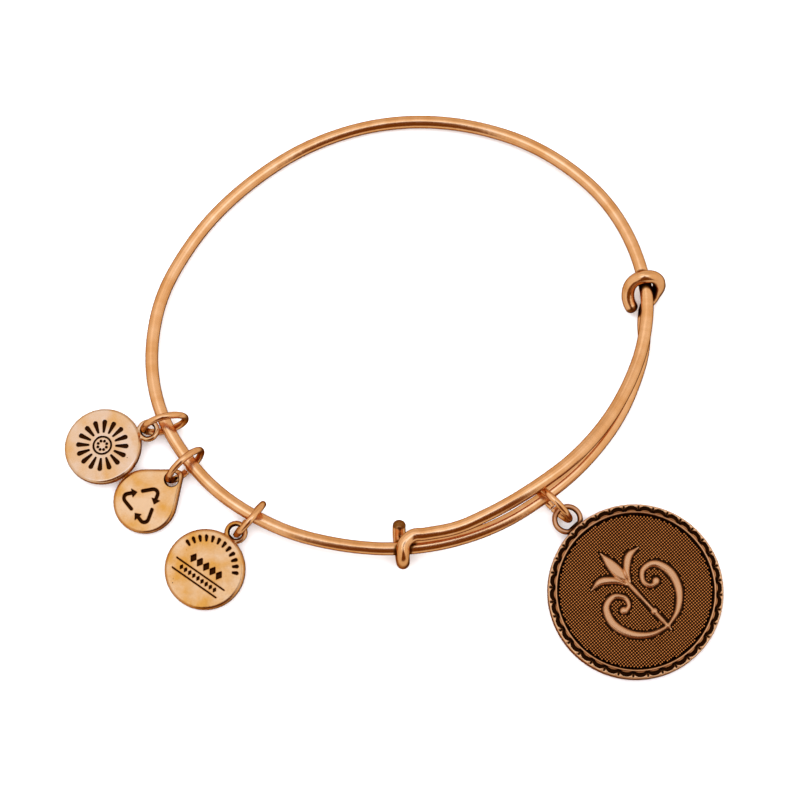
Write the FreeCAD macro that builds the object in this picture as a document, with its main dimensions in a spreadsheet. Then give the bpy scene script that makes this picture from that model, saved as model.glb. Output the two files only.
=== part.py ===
# Charm bangle of one sprung wire, with a medallion and three small charms on jump rings.
# Millimetres. +X runs to the right of the lying bangle, +Y to its top, +Z up from the surface.
# The origin is the middle of the wire loop on that surface.
import FreeCAD, Part
import Sketcher
import math
import os

V = FreeCAD.Vector
doc = FreeCAD.newDocument("charm_bangle")

# Driving dimensions: alias, value, what it is
SIZES = [
    ("wire_diameter", 1.6, "bangle wire, 14 gauge"),
    ("ring_wire", 0.84, "wire of every jump ring"),
    ("charm_ring", 2.6, "centreline radius of the two larger small jump rings"),
    ("banner_ring", 2.45, "centreline radius of the smallest jump ring"),
    ("medal_ring", 2.7, "centreline radius of the medallion's jump ring"),
    ("ring_sweep", 357.0, "degrees of a jump ring, the rest is its butt joint"),
    ("charm_thick", 1.2, "thickness of the small charms"),
    ("charm_edge", 0.36, "rounding of their edges"),
    ("engraving", 0.22, "depth of their engraving"),
    ("rosette_radius", 4.78, "round charm with the sun"),
    ("banner_radius", 4.95, "round charm with the ruled rows"),
    ("drop_radius", 3.95, "bulb of the teardrop charm"),
    ("drop_reach", 4.25, "bulb's middle to the teardrop's hole"),
    ("drop_tip_reach", 4.9, "bulb's middle to the tip's middle"),
    ("drop_tip", 0.85, "radius of the teardrop's tip"),
    ("drop_hole", 0.86, "radius of the teardrop's hole"),
    ("ear_radius", 1.1, "centreline radius of a round charm's ear"),
    ("ear_wire", 0.3, "half thickness of that ear"),
    ("ear_reach", 5.88, "round charm's middle to its ear"),
    ("medal_radius", 10.7, "medallion"),
    ("medal_thick", 2.0, "medallion at its rim"),
    ("medal_bevel", 0.35, "bevel round the medallion's outer edge"),
    ("rim_width", 1.12, "rim band, from the outer edge to the groove"),
    ("rim_groove", 0.2, "width of the groove inside the rim"),
    ("field_depth", 0.4, "field below the rim"),
    ("groove_depth", 0.6, "groove below the rim"),
    ("relief", 0.34, "raised ornament above the field"),
    ("scoop_depth", 0.28, "scoops in the rim"),
    ("medal_ear_radius", 1.56, "centreline radius of the medallion's ear"),
    ("medal_ear_wire", 0.31, "half thickness of that ear"),
    ("medal_ear_reach", 12.1, "medallion's middle to its ear"),
]
SCOOPS = 36
RAYS = 16
BEADS = 8

sheet = doc.addObject("Spreadsheet::Sheet", "Sizes")
size = {}
for row, (alias, value, note) in enumerate(SIZES, start=1):
    sheet.set(f"A{row}", note)
    sheet.set(f"B{row}", str(value))
    sheet.setAlias(f"B{row}", alias)
    size[alias] = value
doc.recompute()


def cell(alias):
    """The expression that reads a driving dimension."""
    return f"Sizes.{alias}"


# The bangle wire

# The free end that turns round the incoming wire at the upper right, tip first
UPPER_HOOK = [
    # x, y, height
    (28.05, 3.15, 1.55),
    (27.55, 4.75, 2.35),
    (28.20, 6.00, 3.60),
    (29.75, 6.45, 4.22),
    (31.00, 6.35, 3.50),
    (31.44, 5.85, 2.45),
    (30.80, 4.80, 1.12),
    (29.90, 3.55, 0.87),
]
# Once round the wrist: out of the upper hook, under the medallion, through the lower hook
# and back over the top into the upper hook, then inside the first strand to the lower hook
ROUND = [
    # angle, radius, height
    (3.2, 29.62, 0.86),
    (358.5, 29.58, 0.82),
    (344.2, 28.73, 1.10),
    (323.5, 27.48, 2.30),
    (309.4, 26.92, 2.80),
    (294.0, 26.85, 2.80),
    (282.4, 26.92, 2.60),
    (268.1, 27.25, 2.50),
    (255.6, 27.75, 2.40),
    (236.2, 29.19, 2.20),
    (216.3, 30.78, 2.00),
    (196.1, 31.65, 1.90),
    (175.4, 30.74, 1.30),
    (154.7, 28.70, 0.86),
    (134.5, 27.23, 0.82),
    (114.6, 26.82, 0.82),
    (94.9, 27.04, 0.82),
    (75.2, 27.68, 1.00),
    (50.3, 29.04, 1.60),
    (30.0, 30.05, 2.20),
    (16.5, 30.22, 2.50),
    (6.7, 30.10, 2.52),
    (358.9, 29.52, 2.72),
    (343.0, 28.04, 4.00),
    (322.0, 26.46, 5.70),
    (308.3, 25.71, 6.15),
    (293.2, 25.60, 5.60),
    (284.0, 25.83, 4.85),
    (275.5, 25.86, 4.38),
]
# The other free end, which crosses over the first strand, turns down outside it
# and comes back beneath it, tip last
LOWER_HOOK = [
    # x, y, height
    (0.85, -25.98, 4.36),
    (-0.10, -26.90, 4.32),
    (-0.23, -28.30, 3.90),
    (-0.23, -28.95, 2.60),
    (-0.35, -28.35, 1.20),
    (-0.50, -27.05, 0.84),
    (-0.70, -25.45, 1.08),
    (-0.72, -24.25, 1.85),
]


def polar(angle, radius, height):
    """A point of the loop from its angle and distance round the wrist."""
    turn = math.radians(angle)
    return V(radius * math.cos(turn), radius * math.sin(turn), height)


def station_tangents(points):
    """Directions of the circles through each three neighbouring points."""
    tangents = []
    for before, here, after in zip(points, points[1:], points[2:]):
        arriving = here - before
        leaving = after - here
        blend = arriving.normalize() * (after - here).Length
        blend += leaving.normalize() * (here - before).Length
        tangents.append(blend.normalize())
    first = mirrored(tangents[0], points[1] - points[0])
    last = mirrored(tangents[-1], points[-1] - points[-2])
    return [first] + tangents + [last]


def mirrored(tangent, chord):
    """The tangent at the other end of an arc over this chord."""
    along = V(chord).normalize()
    return along * (2 * along.dot(tangent)) - tangent


def biarc(start, start_way, end, end_way):
    """Two tangent arcs between two points, each as (start, direction, end)."""
    chord = end - start
    ways = start_way + end_way
    spread = 1 - start_way.dot(end_way)
    if spread < 1e-6:
        reach = chord.dot(chord) / (2 * chord.dot(ways))
    else:
        slope = chord.dot(ways)
        reach = (math.sqrt(slope ** 2 + 2 * spread * chord.dot(chord)) - slope) / (2 * spread)
    near = start + start_way * reach
    far = end - end_way * reach
    joint = (near + far) * 0.5
    return (start, start_way, joint), (joint, (far - near).normalize(), end)


def wire_route():
    """The whole centreline as a chain of tangent arcs."""
    points = [V(*row) for row in UPPER_HOOK]
    points += [polar(*row) for row in ROUND]
    points += [V(*row) for row in LOWER_HOOK]
    ways = station_tangents(points)
    arcs = []
    for index in range(len(points) - 1):
        arcs += biarc(points[index], ways[index], points[index + 1], ways[index + 1])
    return arcs


def round_end(ring, middle, outward):
    """A half ball that closes the wire, seamed where the wire's ring is."""
    seam = ring.Vertexes[0].Point
    radius = (seam - middle).Length
    tip = middle + outward * radius
    lean = ((seam - middle) + (tip - middle)).normalize() * radius
    quarter = Part.Arc(seam, middle + lean, tip).toShape()
    return quarter.revolve(middle, outward, 360)


def bent_wire(arcs, radius):
    """A solid round wire along the arcs, with rounded ends. Returns it and its length."""
    start, way, _ = arcs[0]
    ring = Part.makeCircle(radius, start, way)
    faces = round_end(ring, start, way * -1).Faces
    length = 0.0
    smallest = 1e9
    for start, way, end in arcs:
        chord = end - start
        across = chord - way * chord.dot(way)
        inward = V(across).normalize()
        bend = chord.dot(chord) / (2 * chord.dot(inward))
        centre = start + inward * bend
        axis = way.cross(inward)
        turn = math.degrees(2 * math.atan2(chord.dot(inward), chord.dot(way)))
        faces += ring.revolve(centre, axis, turn).Faces
        ring = ring.copy()
        ring.rotate(centre, axis, turn)
        length += bend * math.radians(turn)
        smallest = min(smallest, bend)
        ending = FreeCAD.Rotation(axis, turn).multVec(way)
    faces += round_end(ring, arcs[-1][2], ending).Faces
    shell = Part.makeShell(faces)
    shell.sewShape(1e-5)
    solid = Part.makeSolid(Part.Shell(shell.Faces))
    if solid.Volume < 0:
        solid.reverse()
    print(f"bangle wire: length {length:.2f}, tightest bend {smallest:.2f}")
    return solid, length


bangle_wire = doc.addObject("Part::Feature", "bangle_wire")
wire_radius = sheet.get("wire_diameter") / 2
bangle_wire.Shape, wire_length = bent_wire(wire_route(), wire_radius)
bangle_wire.Placement = FreeCAD.Placement()
expected = math.pi * wire_radius ** 2 * (wire_length + 4 / 3 * wire_radius)
assert abs(bangle_wire.Shape.Volume / expected - 1) < 0.01, bangle_wire.Shape.Volume / expected

# Helpers for the charms


def origin_plane(body, role):
    """One of a body's own origin planes."""
    for feature in body.Origin.OriginFeatures:
        if feature.Role == role:
            return feature
    raise KeyError(role)


def sketch_on(body, name, lift=None, role="XY_Plane"):
    """An empty sketch on an origin plane of the body, lifted by an expression."""
    sketch = body.newObject("Sketcher::SketchObject", name)
    sketch.AttachmentSupport = (origin_plane(body, role), [""])
    sketch.MapMode = "FlatFace"
    if lift:
        sketch.setExpression("AttachmentOffset.Base.z", lift)
    return sketch


def circle(sketch, name, x, y, radius):
    """A circle whose radius is an expression and whose middle is two expressions."""
    index = sketch.addGeometry(Part.Circle(V(x[0], y[0], 0), V(0, 0, 1), radius[0]), False)
    rules = [("DistanceX", -1, 1, index, 3), ("DistanceY", -1, 1, index, 3)]
    for rule, (value, expression), tail in zip(rules, (x, y), ("x", "y")):
        if abs(value) < 1e-9:
            sketch.addConstraint(Sketcher.Constraint(rule[0], *rule[1:], 0.0))
            continue
        number = sketch.addConstraint(Sketcher.Constraint(rule[0], *rule[1:], value))
        if expression:
            sketch.renameConstraint(number, f"{name}_{tail}")
            sketch.setExpression(f"Constraints.{name}_{tail}", expression)
    number = sketch.addConstraint(Sketcher.Constraint("Radius", index, radius[0]))
    if radius[1]:
        sketch.renameConstraint(number, f"{name}_radius")
        sketch.setExpression(f"Constraints.{name}_radius", radius[1])


def sized(alias):
    """A driving dimension as its value and its expression."""
    return size[alias], cell(alias)


ZERO = (0.0, None)


def outline(sketch, points):
    """A closed outline of straight lines through the points."""
    for index, (x, y) in enumerate(points):
        u, v = points[(index + 1) % len(points)]
        sketch.addGeometry(Part.LineSegment(V(x, y, 0), V(u, v, 0)), False)


def pad(body, sketch, name, length):
    """Adds the sketch's area, raised by an expression."""
    feature = body.newObject("PartDesign::Pad", name)
    feature.Profile = sketch
    feature.setExpression("Length", length)
    body.Tip = feature
    return feature


def pocket(body, sketch, name, depth):
    """Cuts the sketch's area down by an expression and checks that it cut."""
    doc.recompute()
    before = body.Shape.Volume
    feature = body.newObject("PartDesign::Pocket", name)
    feature.Profile = sketch
    feature.setExpression("Length", depth)
    body.Tip = feature
    doc.recompute()
    assert body.Shape.Volume < before - 1e-4, name
    return feature


def polar_pattern(body, feature, name, count):
    """Repeats a feature round the body's +Z."""
    pattern = body.newObject("PartDesign::PolarPattern", name)
    pattern.Originals = [feature]
    pattern.Axis = (feature.Profile[0], ["N_Axis"])
    pattern.Angle = 360
    pattern.Occurrences = count
    body.Tip = pattern
    doc.recompute()
    return pattern


def round_edges(body, base, name, radius):
    """Rounds every full circle edge of a disc."""
    doc.recompute()
    names = []
    for number, edge in enumerate(base.Shape.Edges, start=1):
        if len(edge.Vertexes) == 1 or abs(edge.Vertexes[0].Z - edge.Vertexes[-1].Z) < 1e-6:
            names.append(f"Edge{number}")
    fillet = body.newObject("PartDesign::Fillet", name)
    fillet.Base = (base, names)
    fillet.setExpression("Radius", radius)
    body.Tip = fillet
    doc.recompute()
    return fillet


def ear(body, radius, thickness, reach, height):
    """A cast loop on the rim, its middle out along +Y."""
    loop = body.newObject("PartDesign::AdditiveTorus", "ear")
    loop.setExpression("Radius1", cell(radius))
    loop.setExpression("Radius2", cell(thickness))
    loop.AttachmentSupport = (origin_plane(body, "XY_Plane"), [""])
    loop.MapMode = "FlatFace"
    loop.setExpression("AttachmentOffset.Base.y", cell(reach))
    loop.setExpression("AttachmentOffset.Base.z", height)
    body.Tip = loop
    doc.recompute()
    return loop


def lay_down(body, x, y, ear_angle, raised_angle, tilt, reach, edge):
    """Lays a charm with one side of its rim on the surface and the opposite side raised."""
    lean = math.radians(tilt)
    rise = (reach - edge) * math.sin(lean) + edge * (1 - math.cos(lean))
    raised = V(math.cos(math.radians(raised_angle)), math.sin(math.radians(raised_angle)), 0)
    turn = FreeCAD.Rotation(V(0, 0, 1), ear_angle - 90)
    tip_up = FreeCAD.Rotation(raised.cross(V(0, 0, 1)), tilt)
    body.Placement = FreeCAD.Placement(V(x, y, rise), tip_up * turn)


def charm_body(label):
    """An empty body with its label."""
    body = doc.addObject("PartDesign::Body", label)
    body.Label = label
    return body


def charm_disc(label, radius):
    """A round charm's blank: a disc with rounded edges and an ear."""
    body = charm_body(label)
    face = sketch_on(body, f"{label}_face")
    circle(face, "rim", ZERO, ZERO, sized(radius))
    blank = pad(body, face, f"{label}_blank", cell("charm_thick"))
    round_edges(body, blank, f"{label}_edges", cell("charm_edge"))
    ear(body, "ear_radius", "ear_wire", "ear_reach", cell("charm_thick") + " / 2")
    return body


# Round charm with an engraved sun: beads in a ring, and rays round it
SUN_RING = 1.0
SUN_RING_WIDTH = 0.22
BEAD_ORBIT = 0.58
BEAD_RADIUS = 0.17
RAY_START = 1.55
RAY_END = 3.3
RAY_HALF_WIDTHS = (0.14, 0.3)

rosette_charm = charm_disc("rosette_charm", "rosette_radius")
ring_sketch = sketch_on(rosette_charm, "sun_ring", cell("charm_thick"))
circle(ring_sketch, "outer", ZERO, ZERO, (SUN_RING + SUN_RING_WIDTH, None))
circle(ring_sketch, "inner", ZERO, ZERO, (SUN_RING, None))
pocket(rosette_charm, ring_sketch, "sun_ring_cut", cell("engraving"))
ray_sketch = sketch_on(rosette_charm, "sun_ray", cell("charm_thick"))
narrow, wide = RAY_HALF_WIDTHS
outline(ray_sketch, [(-narrow, RAY_START), (narrow, RAY_START), (wide, RAY_END), (-wide, RAY_END)])
ray = pocket(rosette_charm, ray_sketch, "sun_ray_cut", cell("engraving"))
polar_pattern(rosette_charm, ray, "sun_rays", RAYS)
bead_sketch = sketch_on(rosette_charm, "sun_bead", cell("charm_thick"))
circle(bead_sketch, "bead", ZERO, (BEAD_ORBIT, None), (BEAD_RADIUS, None))
bead = pocket(rosette_charm, bead_sketch, "sun_bead_cut", cell("engraving"))
polar_pattern(rosette_charm, bead, "sun_beads", BEADS)
lay_down(rosette_charm, -36.95, -14.43, 18.5, -38.0, 10.5, size["rosette_radius"], size["charm_edge"])

# Teardrop charm with three engraved arrows that chase each other
ARROW_HALF = 0.2
HEAD_HALF = 0.56
HEAD_LENGTH = 0.68
TRIANGLE_RADIUS = 2.9
TAIL_RUN = 2.2
POINT_RUN = 2.15
CORNER_CUT = 0.75
TRIANGLE_TURN = 1.0
TRIANGLE_SHIFT = -0.4
BEND_SHARE = 0.6

arrows_charm = charm_body("arrows_charm")


def teardrop(sketch, bulb, shoulder, reach):
    """Two arcs joined by their common tangents: the teardrop's outline."""
    lean = math.asin((bulb - shoulder) / reach)
    side = V(math.cos(lean), math.sin(lean), 0)
    other = V(-side.x, side.y, 0)
    top = V(0, reach, 0)
    low_right = side * bulb
    low_left = other * bulb
    high_right = top + side * shoulder
    high_left = top + other * shoulder
    sketch.addGeometry(Part.Arc(low_left, V(0, -bulb, 0), low_right), False)
    sketch.addGeometry(Part.LineSegment(low_right, high_right), False)
    sketch.addGeometry(Part.Arc(high_right, V(0, reach + shoulder, 0), high_left), False)
    sketch.addGeometry(Part.LineSegment(high_left, low_left), False)


def arrow_outline():
    """One arrow: a tail, a bend cut across at the triangle's top corner, and a head."""
    corner = V(0, TRIANGLE_RADIUS, 0)
    down_left = V(-math.sin(math.radians(30)), -math.cos(math.radians(30)), 0)
    down_right = V(-down_left.x, down_left.y, 0)
    left_out = V(down_left.y, -down_left.x, 0)
    right_out = V(-down_right.y, down_right.x, 0)
    tail = corner + down_left * TAIL_RUN
    before = corner + down_left * CORNER_CUT
    after = corner + down_right * CORNER_CUT
    neck = corner + down_right * (POINT_RUN - HEAD_LENGTH)
    point = corner + down_right * POINT_RUN
    half = ARROW_HALF
    up = V(0, half, 0)
    bend_left = (left_out * half + up) * BEND_SHARE
    bend_right = (right_out * half + up) * BEND_SHARE
    ring = [
        tail + left_out * half,
        before + bend_left,
        after + bend_right,
        neck + right_out * half,
        neck + right_out * HEAD_HALF,
        point,
        neck - right_out * HEAD_HALF,
        neck - right_out * half,
        after - bend_right,
        before - bend_left,
        tail - left_out * half,
    ]
    turn = FreeCAD.Rotation(V(0, 0, 1), TRIANGLE_TURN)
    return [(p.x, p.y) for p in (turn.multVec(q) for q in ring)]


drop_face = sketch_on(arrows_charm, "drop_face")
teardrop(drop_face, size["drop_radius"], size["drop_tip"], size["drop_tip_reach"])
drop_blank = pad(arrows_charm, drop_face, "drop_blank", cell("charm_thick"))
round_edges(arrows_charm, drop_blank, "drop_edges", cell("charm_edge"))
drop_hole = sketch_on(arrows_charm, "drop_hole", cell("charm_thick"))
circle(drop_hole, "hole", ZERO, sized("drop_reach"), sized("drop_hole"))
pocket(arrows_charm, drop_hole, "drop_hole_cut", cell("charm_thick"))
arrow_sketch = sketch_on(arrows_charm, "arrow", cell("charm_thick"))
arrow_sketch.setExpression("AttachmentOffset.Base.y", f"{TRIANGLE_SHIFT}")
outline(arrow_sketch, arrow_outline())
arrow = pocket(arrows_charm, arrow_sketch, "arrow_cut", cell("engraving"))
polar_pattern(arrows_charm, arrow, "arrows", 3)
lay_down(arrows_charm, -31.70, -21.10, 38.0, 38.0, 9.5, size["drop_radius"], size["charm_edge"])

# Round charm with two engraved rules, rows of lozenges and an arc of dashes
RULE_HALF_WIDTH = 0.09
RULES = [
    # height, half length
    (-0.75, 3.55),
    (-2.05, 3.30),
]
ROW_TURN = 5.0
LOZENGE_ROWS = [
    # half width, half height, pitch, count, height of the row
    (0.42, 0.62, 0.95, 5, 0.35),
    (0.22, 0.30, 0.62, 9, -1.40),
]
DASH_ENDS = [
    # distance from the middle, half width
    (3.4, 0.12),
    (4.1, 0.2),
]
DASHES = 12
DASH_FIRST = 72.0
DASH_STEP = 11.8

banner_charm = charm_disc("banner_charm", "banner_radius")


def turned(points, degrees):
    """Points turned about the charm's middle."""
    turn = FreeCAD.Rotation(V(0, 0, 1), degrees)
    return [(p.x, p.y) for p in (turn.multVec(V(x, y, 0)) for x, y in points)]


rows = sketch_on(banner_charm, "ruled_rows", cell("charm_thick"))
for height, half in RULES:
    low = height - RULE_HALF_WIDTH
    high = height + RULE_HALF_WIDTH
    outline(rows, turned([(-half, low), (half, low), (half, high), (-half, high)], ROW_TURN))
for half_width, half_height, pitch, count, height in LOZENGE_ROWS:
    for number in range(count):
        x = (number - (count - 1) / 2) * pitch
        lozenge = [(x - half_width, height), (x, height - half_height)]
        lozenge += [(x + half_width, height), (x, height + half_height)]
        outline(rows, turned(lozenge, ROW_TURN))
pocket(banner_charm, rows, "ruled_rows_cut", cell("engraving"))
dashes = sketch_on(banner_charm, "dashes", cell("charm_thick"))
(start, narrow), (end, wide) = DASH_ENDS
dash = [(-narrow, start), (narrow, start), (wide, end), (-wide, end)]
for number in range(DASHES):
    outline(dashes, turned(dash, DASH_FIRST - number * DASH_STEP))
pocket(banner_charm, dashes, "dashes_cut", cell("engraving"))
lay_down(banner_charm, -24.34, -29.52, 49.9, 49.9, 6.5, size["banner_radius"], size["charm_edge"])

# Medallion: a rim of scoops between fins, a groove, a sunk field and a raised scroll ornament
medallion = charm_body("medallion")


def profile(sketch, corners):
    """A closed outline whose corners are bound to expressions of the sheet."""
    doc.recompute()
    values = [(float(sheet_value(x)), float(sheet_value(y))) for x, y in corners]
    for index, (x, y) in enumerate(values):
        u, v = values[(index + 1) % len(values)]
        sketch.addGeometry(Part.LineSegment(V(x, y, 0), V(u, v, 0)), False)
    for index in range(len(values)):
        follows = (index + 1) % len(values)
        sketch.addConstraint(Sketcher.Constraint("Coincident", index, 2, follows, 1))
    for index, (value, corner) in enumerate(zip(values, corners)):
        for kind, number, expression in zip(("DistanceX", "DistanceY"), value, corner):
            rule = sketch.addConstraint(Sketcher.Constraint(kind, -1, 1, index, 1, number))
            if expression != "0":
                sketch.renameConstraint(rule, f"{kind}_{index}")
                sketch.setExpression(f"Constraints.{kind}_{index}", expression)


def sheet_value(expression):
    """An expression's value: a sum or difference of the sheet's named dimensions."""
    total = 0.0
    sign = 1
    for word in expression.split():
        if word in "+-":
            sign = 1 if word == "+" else -1
        else:
            total += sign * (size[word.split(".")[1]] if "." in word else float(word))
            sign = 1
    return total


RIM = cell("medal_radius")
TOP = cell("medal_thick")
BEVEL = cell("medal_bevel")
FIELD_EDGE = f"{RIM} - {cell('rim_width')} - {cell('rim_groove')}"
blank = sketch_on(medallion, "medal_profile", role="XZ_Plane")
profile(blank, [
    ("0", "0"),
    (f"{RIM} - {BEVEL}", "0"),
    (RIM, BEVEL),
    (RIM, f"{TOP} - {BEVEL}"),
    (f"{RIM} - {BEVEL}", TOP),
    (f"{RIM} - {cell('rim_width')}", TOP),
    (f"{RIM} - {cell('rim_width')}", f"{TOP} - {cell('groove_depth')}"),
    (FIELD_EDGE, f"{TOP} - {cell('groove_depth')}"),
    (FIELD_EDGE, f"{TOP} - {cell('field_depth')}"),
    ("0", f"{TOP} - {cell('field_depth')}"),
])
turned_blank = medallion.newObject("PartDesign::Revolution", "medal_blank")
turned_blank.Profile = blank
turned_blank.ReferenceAxis = (blank, ["V_Axis"])
turned_blank.Angle = 360
medallion.Tip = turned_blank
doc.recompute()
ear(medallion, "medal_ear_radius", "medal_ear_wire", "medal_ear_reach", f"{TOP} / 2")

# One scoop: a crescent, bowed outward, between two fins
SCOOP_OUT = 0.37
SCOOP_IN = 0.98
SCOOP_MIDDLE_IN = 0.74
SCOOP_HALF_TURN = math.radians(180 / SCOOPS * 0.86)


def rim_point(inset, angle):
    """A point of the rim from its distance inside the edge and its angle from +Y."""
    radius = size["medal_radius"] - inset
    return V(radius * math.sin(angle), radius * math.cos(angle), 0)


scoop_sketch = sketch_on(medallion, "scoop", TOP)
left = rim_point(SCOOP_IN, -SCOOP_HALF_TURN)
right = rim_point(SCOOP_IN, SCOOP_HALF_TURN)
scoop_sketch.addGeometry(Part.Arc(left, rim_point(SCOOP_OUT, 0), right), False)
scoop_sketch.addGeometry(Part.Arc(right, rim_point(SCOOP_MIDDLE_IN, 0), left), False)
scoop = pocket(medallion, scoop_sketch, "scoop_cut", cell("scoop_depth"))
polar_pattern(medallion, scoop, "scoops", SCOOPS)

# The ornament: a stem with a bud, and a pair each of curled scrolls and leaves
FIELD_TOP = f"{TOP} - {cell('field_depth')}"
SCROLL = [
    # x, y, half width; mirrored about the stem
    (0.30, -5.70, 0.16),
    (2.30, -5.05, 0.42),
    (4.05, -3.35, 0.58),
    (4.75, -1.05, 0.60),
    (4.05, 1.00, 0.52),
    (2.45, 1.40, 0.44),
    (1.55, 0.30, 0.38),
    (2.10, -0.85, 0.34),
]
LEAF = [
    (0.30, 1.30, 0.14),
    (1.05, 2.70, 0.44),
    (2.40, 3.75, 0.50),
    (4.00, 3.70, 0.10),
]
STEM = [
    (0.00, -6.40, 0.10),
    (0.00, -4.60, 0.32),
    (0.00, -2.00, 0.24),
    (0.00, 0.50, 0.34),
    (0.00, 1.90, 0.22),
]
BUD = [
    (0.00, 1.60, 0.16),
    (0.00, 3.20, 0.74),
    (0.00, 4.70, 0.60),
    (0.00, 6.30, 0.10),
]
CURL_BALL = (2.72, -0.62, 0.56)
STEM_BALL = (0.0, -3.3, 0.5)


def arc_edge(start, way, end):
    """The arc that leaves its start along a direction."""
    chord = end - start
    across = chord - way * chord.dot(way)
    quarter = math.atan2(across.Length, chord.dot(way)) / 2
    reach = chord.Length / (2 * math.cos(quarter))
    inward = V(across).normalize()
    middle = start + way * (reach * math.cos(quarter)) + inward * (reach * math.sin(quarter))
    return Part.Arc(start, middle, end)


def smooth_side(points):
    """Tangent arcs through one side of a ribbon."""
    ways = station_tangents(points)
    arcs = []
    for index in range(len(points) - 1):
        for piece in biarc(points[index], ways[index], points[index + 1], ways[index + 1]):
            arcs.append(arc_edge(*piece))
    return arcs


def ribbon(name, stations, side):
    """A raised stroke of changing width with round ends."""
    middles = [V(side * x, y, 0) for x, y, _ in stations]
    ways = station_tangents(middles) if stations[0][0] else [V(0, 1, 0)] * len(stations)
    lefts = []
    rights = []
    for middle, way, (_, _, half) in zip(middles, ways, stations):
        out = V(-way.y, way.x, 0) * half
        lefts.append(middle + out)
        rights.append(middle - out)
    sketch = sketch_on(medallion, name, FIELD_TOP)
    edges = smooth_side(lefts)
    edges.append(Part.Arc(lefts[-1], middles[-1] + ways[-1] * stations[-1][2], rights[-1]))
    edges += smooth_side(rights[::-1])
    edges.append(Part.Arc(rights[0], middles[0] - ways[0] * stations[0][2], lefts[0]))
    for edge in edges:
        sketch.addGeometry(edge, False)
    return pad(medallion, sketch, f"{name}_raised", cell("relief"))


def ball(name, x, y, radius):
    """A raised round end or bead."""
    sketch = sketch_on(medallion, name, FIELD_TOP)
    circle(sketch, "bead", (x, None), (y, None), (radius, None))
    return pad(medallion, sketch, f"{name}_raised", cell("relief"))


for side, tail in ((-1, "left"), (1, "right")):
    ribbon(f"scroll_{tail}", SCROLL, side)
    ribbon(f"leaf_{tail}", LEAF, side)
    ball(f"curl_{tail}", side * CURL_BALL[0], CURL_BALL[1], CURL_BALL[2])
ribbon("stem", STEM, 1)
ribbon("bud", BUD, 1)
ball("stem_bead", *STEM_BALL)
doc.recompute()
lay_down(medallion, 28.0, -32.36, 132.6, 132.6, 2.0, size["medal_radius"], size["medal_bevel"])

# The four jump rings

RINGS = [
    # name, centreline radius, x, y, direction towards the ear, lean from upright
    ("medallion_ring", "medal_ring", 18.08, -21.78, 315.0, 0.0),
    ("rosette_ring", "charm_ring", -29.42, -11.80, 195.0, 7.0),
    ("arrows_ring", "charm_ring", -26.88, -16.99, 222.0, 5.5),
    ("banner_ring", "banner_ring", -18.92, -23.68, 230.0, -10.3),
]
CLEARANCE = 0.02
for label, radius, x, y, toward, lean in RINGS:
    ring = doc.addObject("Part::Torus", label)
    ring.Label = label
    ring.setExpression("Radius1", cell(radius))
    ring.setExpression("Radius2", cell("ring_wire") + " / 2")
    ring.setExpression("Angle3", cell("ring_sweep"))
    along = V(math.cos(math.radians(toward)), math.sin(math.radians(toward)), 0)
    upright = FreeCAD.Rotation(along, lean).multVec(V(0, 0, 1))
    height = size[radius] * upright.z + size["ring_wire"] / 2 + CLEARANCE
    standing = FreeCAD.Rotation(upright * -1, V(), along.cross(upright) * -1, "ZXY")
    ring.Placement = FreeCAD.Placement(V(x, y, height), standing)
doc.recompute()

# Checks, then the files
NODES = [
    "bangle_wire", "medallion", "medallion_ring", "rosette_charm", "rosette_ring",
    "arrows_charm", "arrows_ring", "banner_charm", "banner_ring",
]
for item in doc.Objects:
    assert not {"Invalid", "Error"} & set(item.State), f"{item.Name} failed: {item.State}"
os.makedirs("parts", exist_ok=True)
total = 0.0
for node in NODES:
    shape = doc.getObject(node).Shape
    assert not shape.isNull() and shape.isValid() and len(shape.Solids) == 1, node
    total += shape.Volume
    box = shape.BoundBox
    print(f"{node}: {shape.Volume:.2f} mm3, {len(shape.Faces)} faces, z {box.ZMin:.3f} to {box.ZMax:.3f}")
for node in NODES:
    doc.getObject(node).Shape.exportStep(f"parts/{node}.step")
print(f"volume {total:.1f} mm3")
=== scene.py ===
"""Charm bangle: one sprung wire, a cast medallion and three engraved charms on jump rings.

Shapes are made in millimetres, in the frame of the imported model, and each finished mesh is in metres.
"""
import logging
import math
from dataclasses import dataclass
from enum import Enum
from typing import Any, Callable, Optional, Sequence

import bmesh
import bpy
import numpy as np
from bmesh.types import BMEdge, BMesh, BMVert
from bpy.types import Material, Node, NodeSocket, Object
from mathutils import Matrix, Vector


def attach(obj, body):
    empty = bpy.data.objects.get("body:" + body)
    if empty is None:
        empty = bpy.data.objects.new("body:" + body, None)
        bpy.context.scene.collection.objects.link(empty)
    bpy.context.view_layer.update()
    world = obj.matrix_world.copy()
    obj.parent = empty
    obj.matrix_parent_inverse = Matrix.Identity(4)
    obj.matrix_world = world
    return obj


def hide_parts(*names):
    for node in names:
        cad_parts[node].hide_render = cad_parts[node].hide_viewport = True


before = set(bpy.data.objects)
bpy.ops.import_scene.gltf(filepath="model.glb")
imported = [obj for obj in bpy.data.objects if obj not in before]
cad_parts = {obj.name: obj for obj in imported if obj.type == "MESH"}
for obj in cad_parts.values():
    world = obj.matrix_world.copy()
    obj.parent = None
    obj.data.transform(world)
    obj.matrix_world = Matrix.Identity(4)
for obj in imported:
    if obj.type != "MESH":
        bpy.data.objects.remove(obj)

MM = 0.001
LOG = logging.getLogger("charm_bangle")


class Slot(Enum):
    """Names of the material slots; nothing in this script assigns them."""

    ROSE = "rose_metal"
    ANTIQUE = "antique_copper"


class Motif(Enum):
    """What is engraved on a small charm."""

    SUN = "sun"
    ARROWS = "arrows"
    ROWS = "rows"


# Shading


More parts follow.
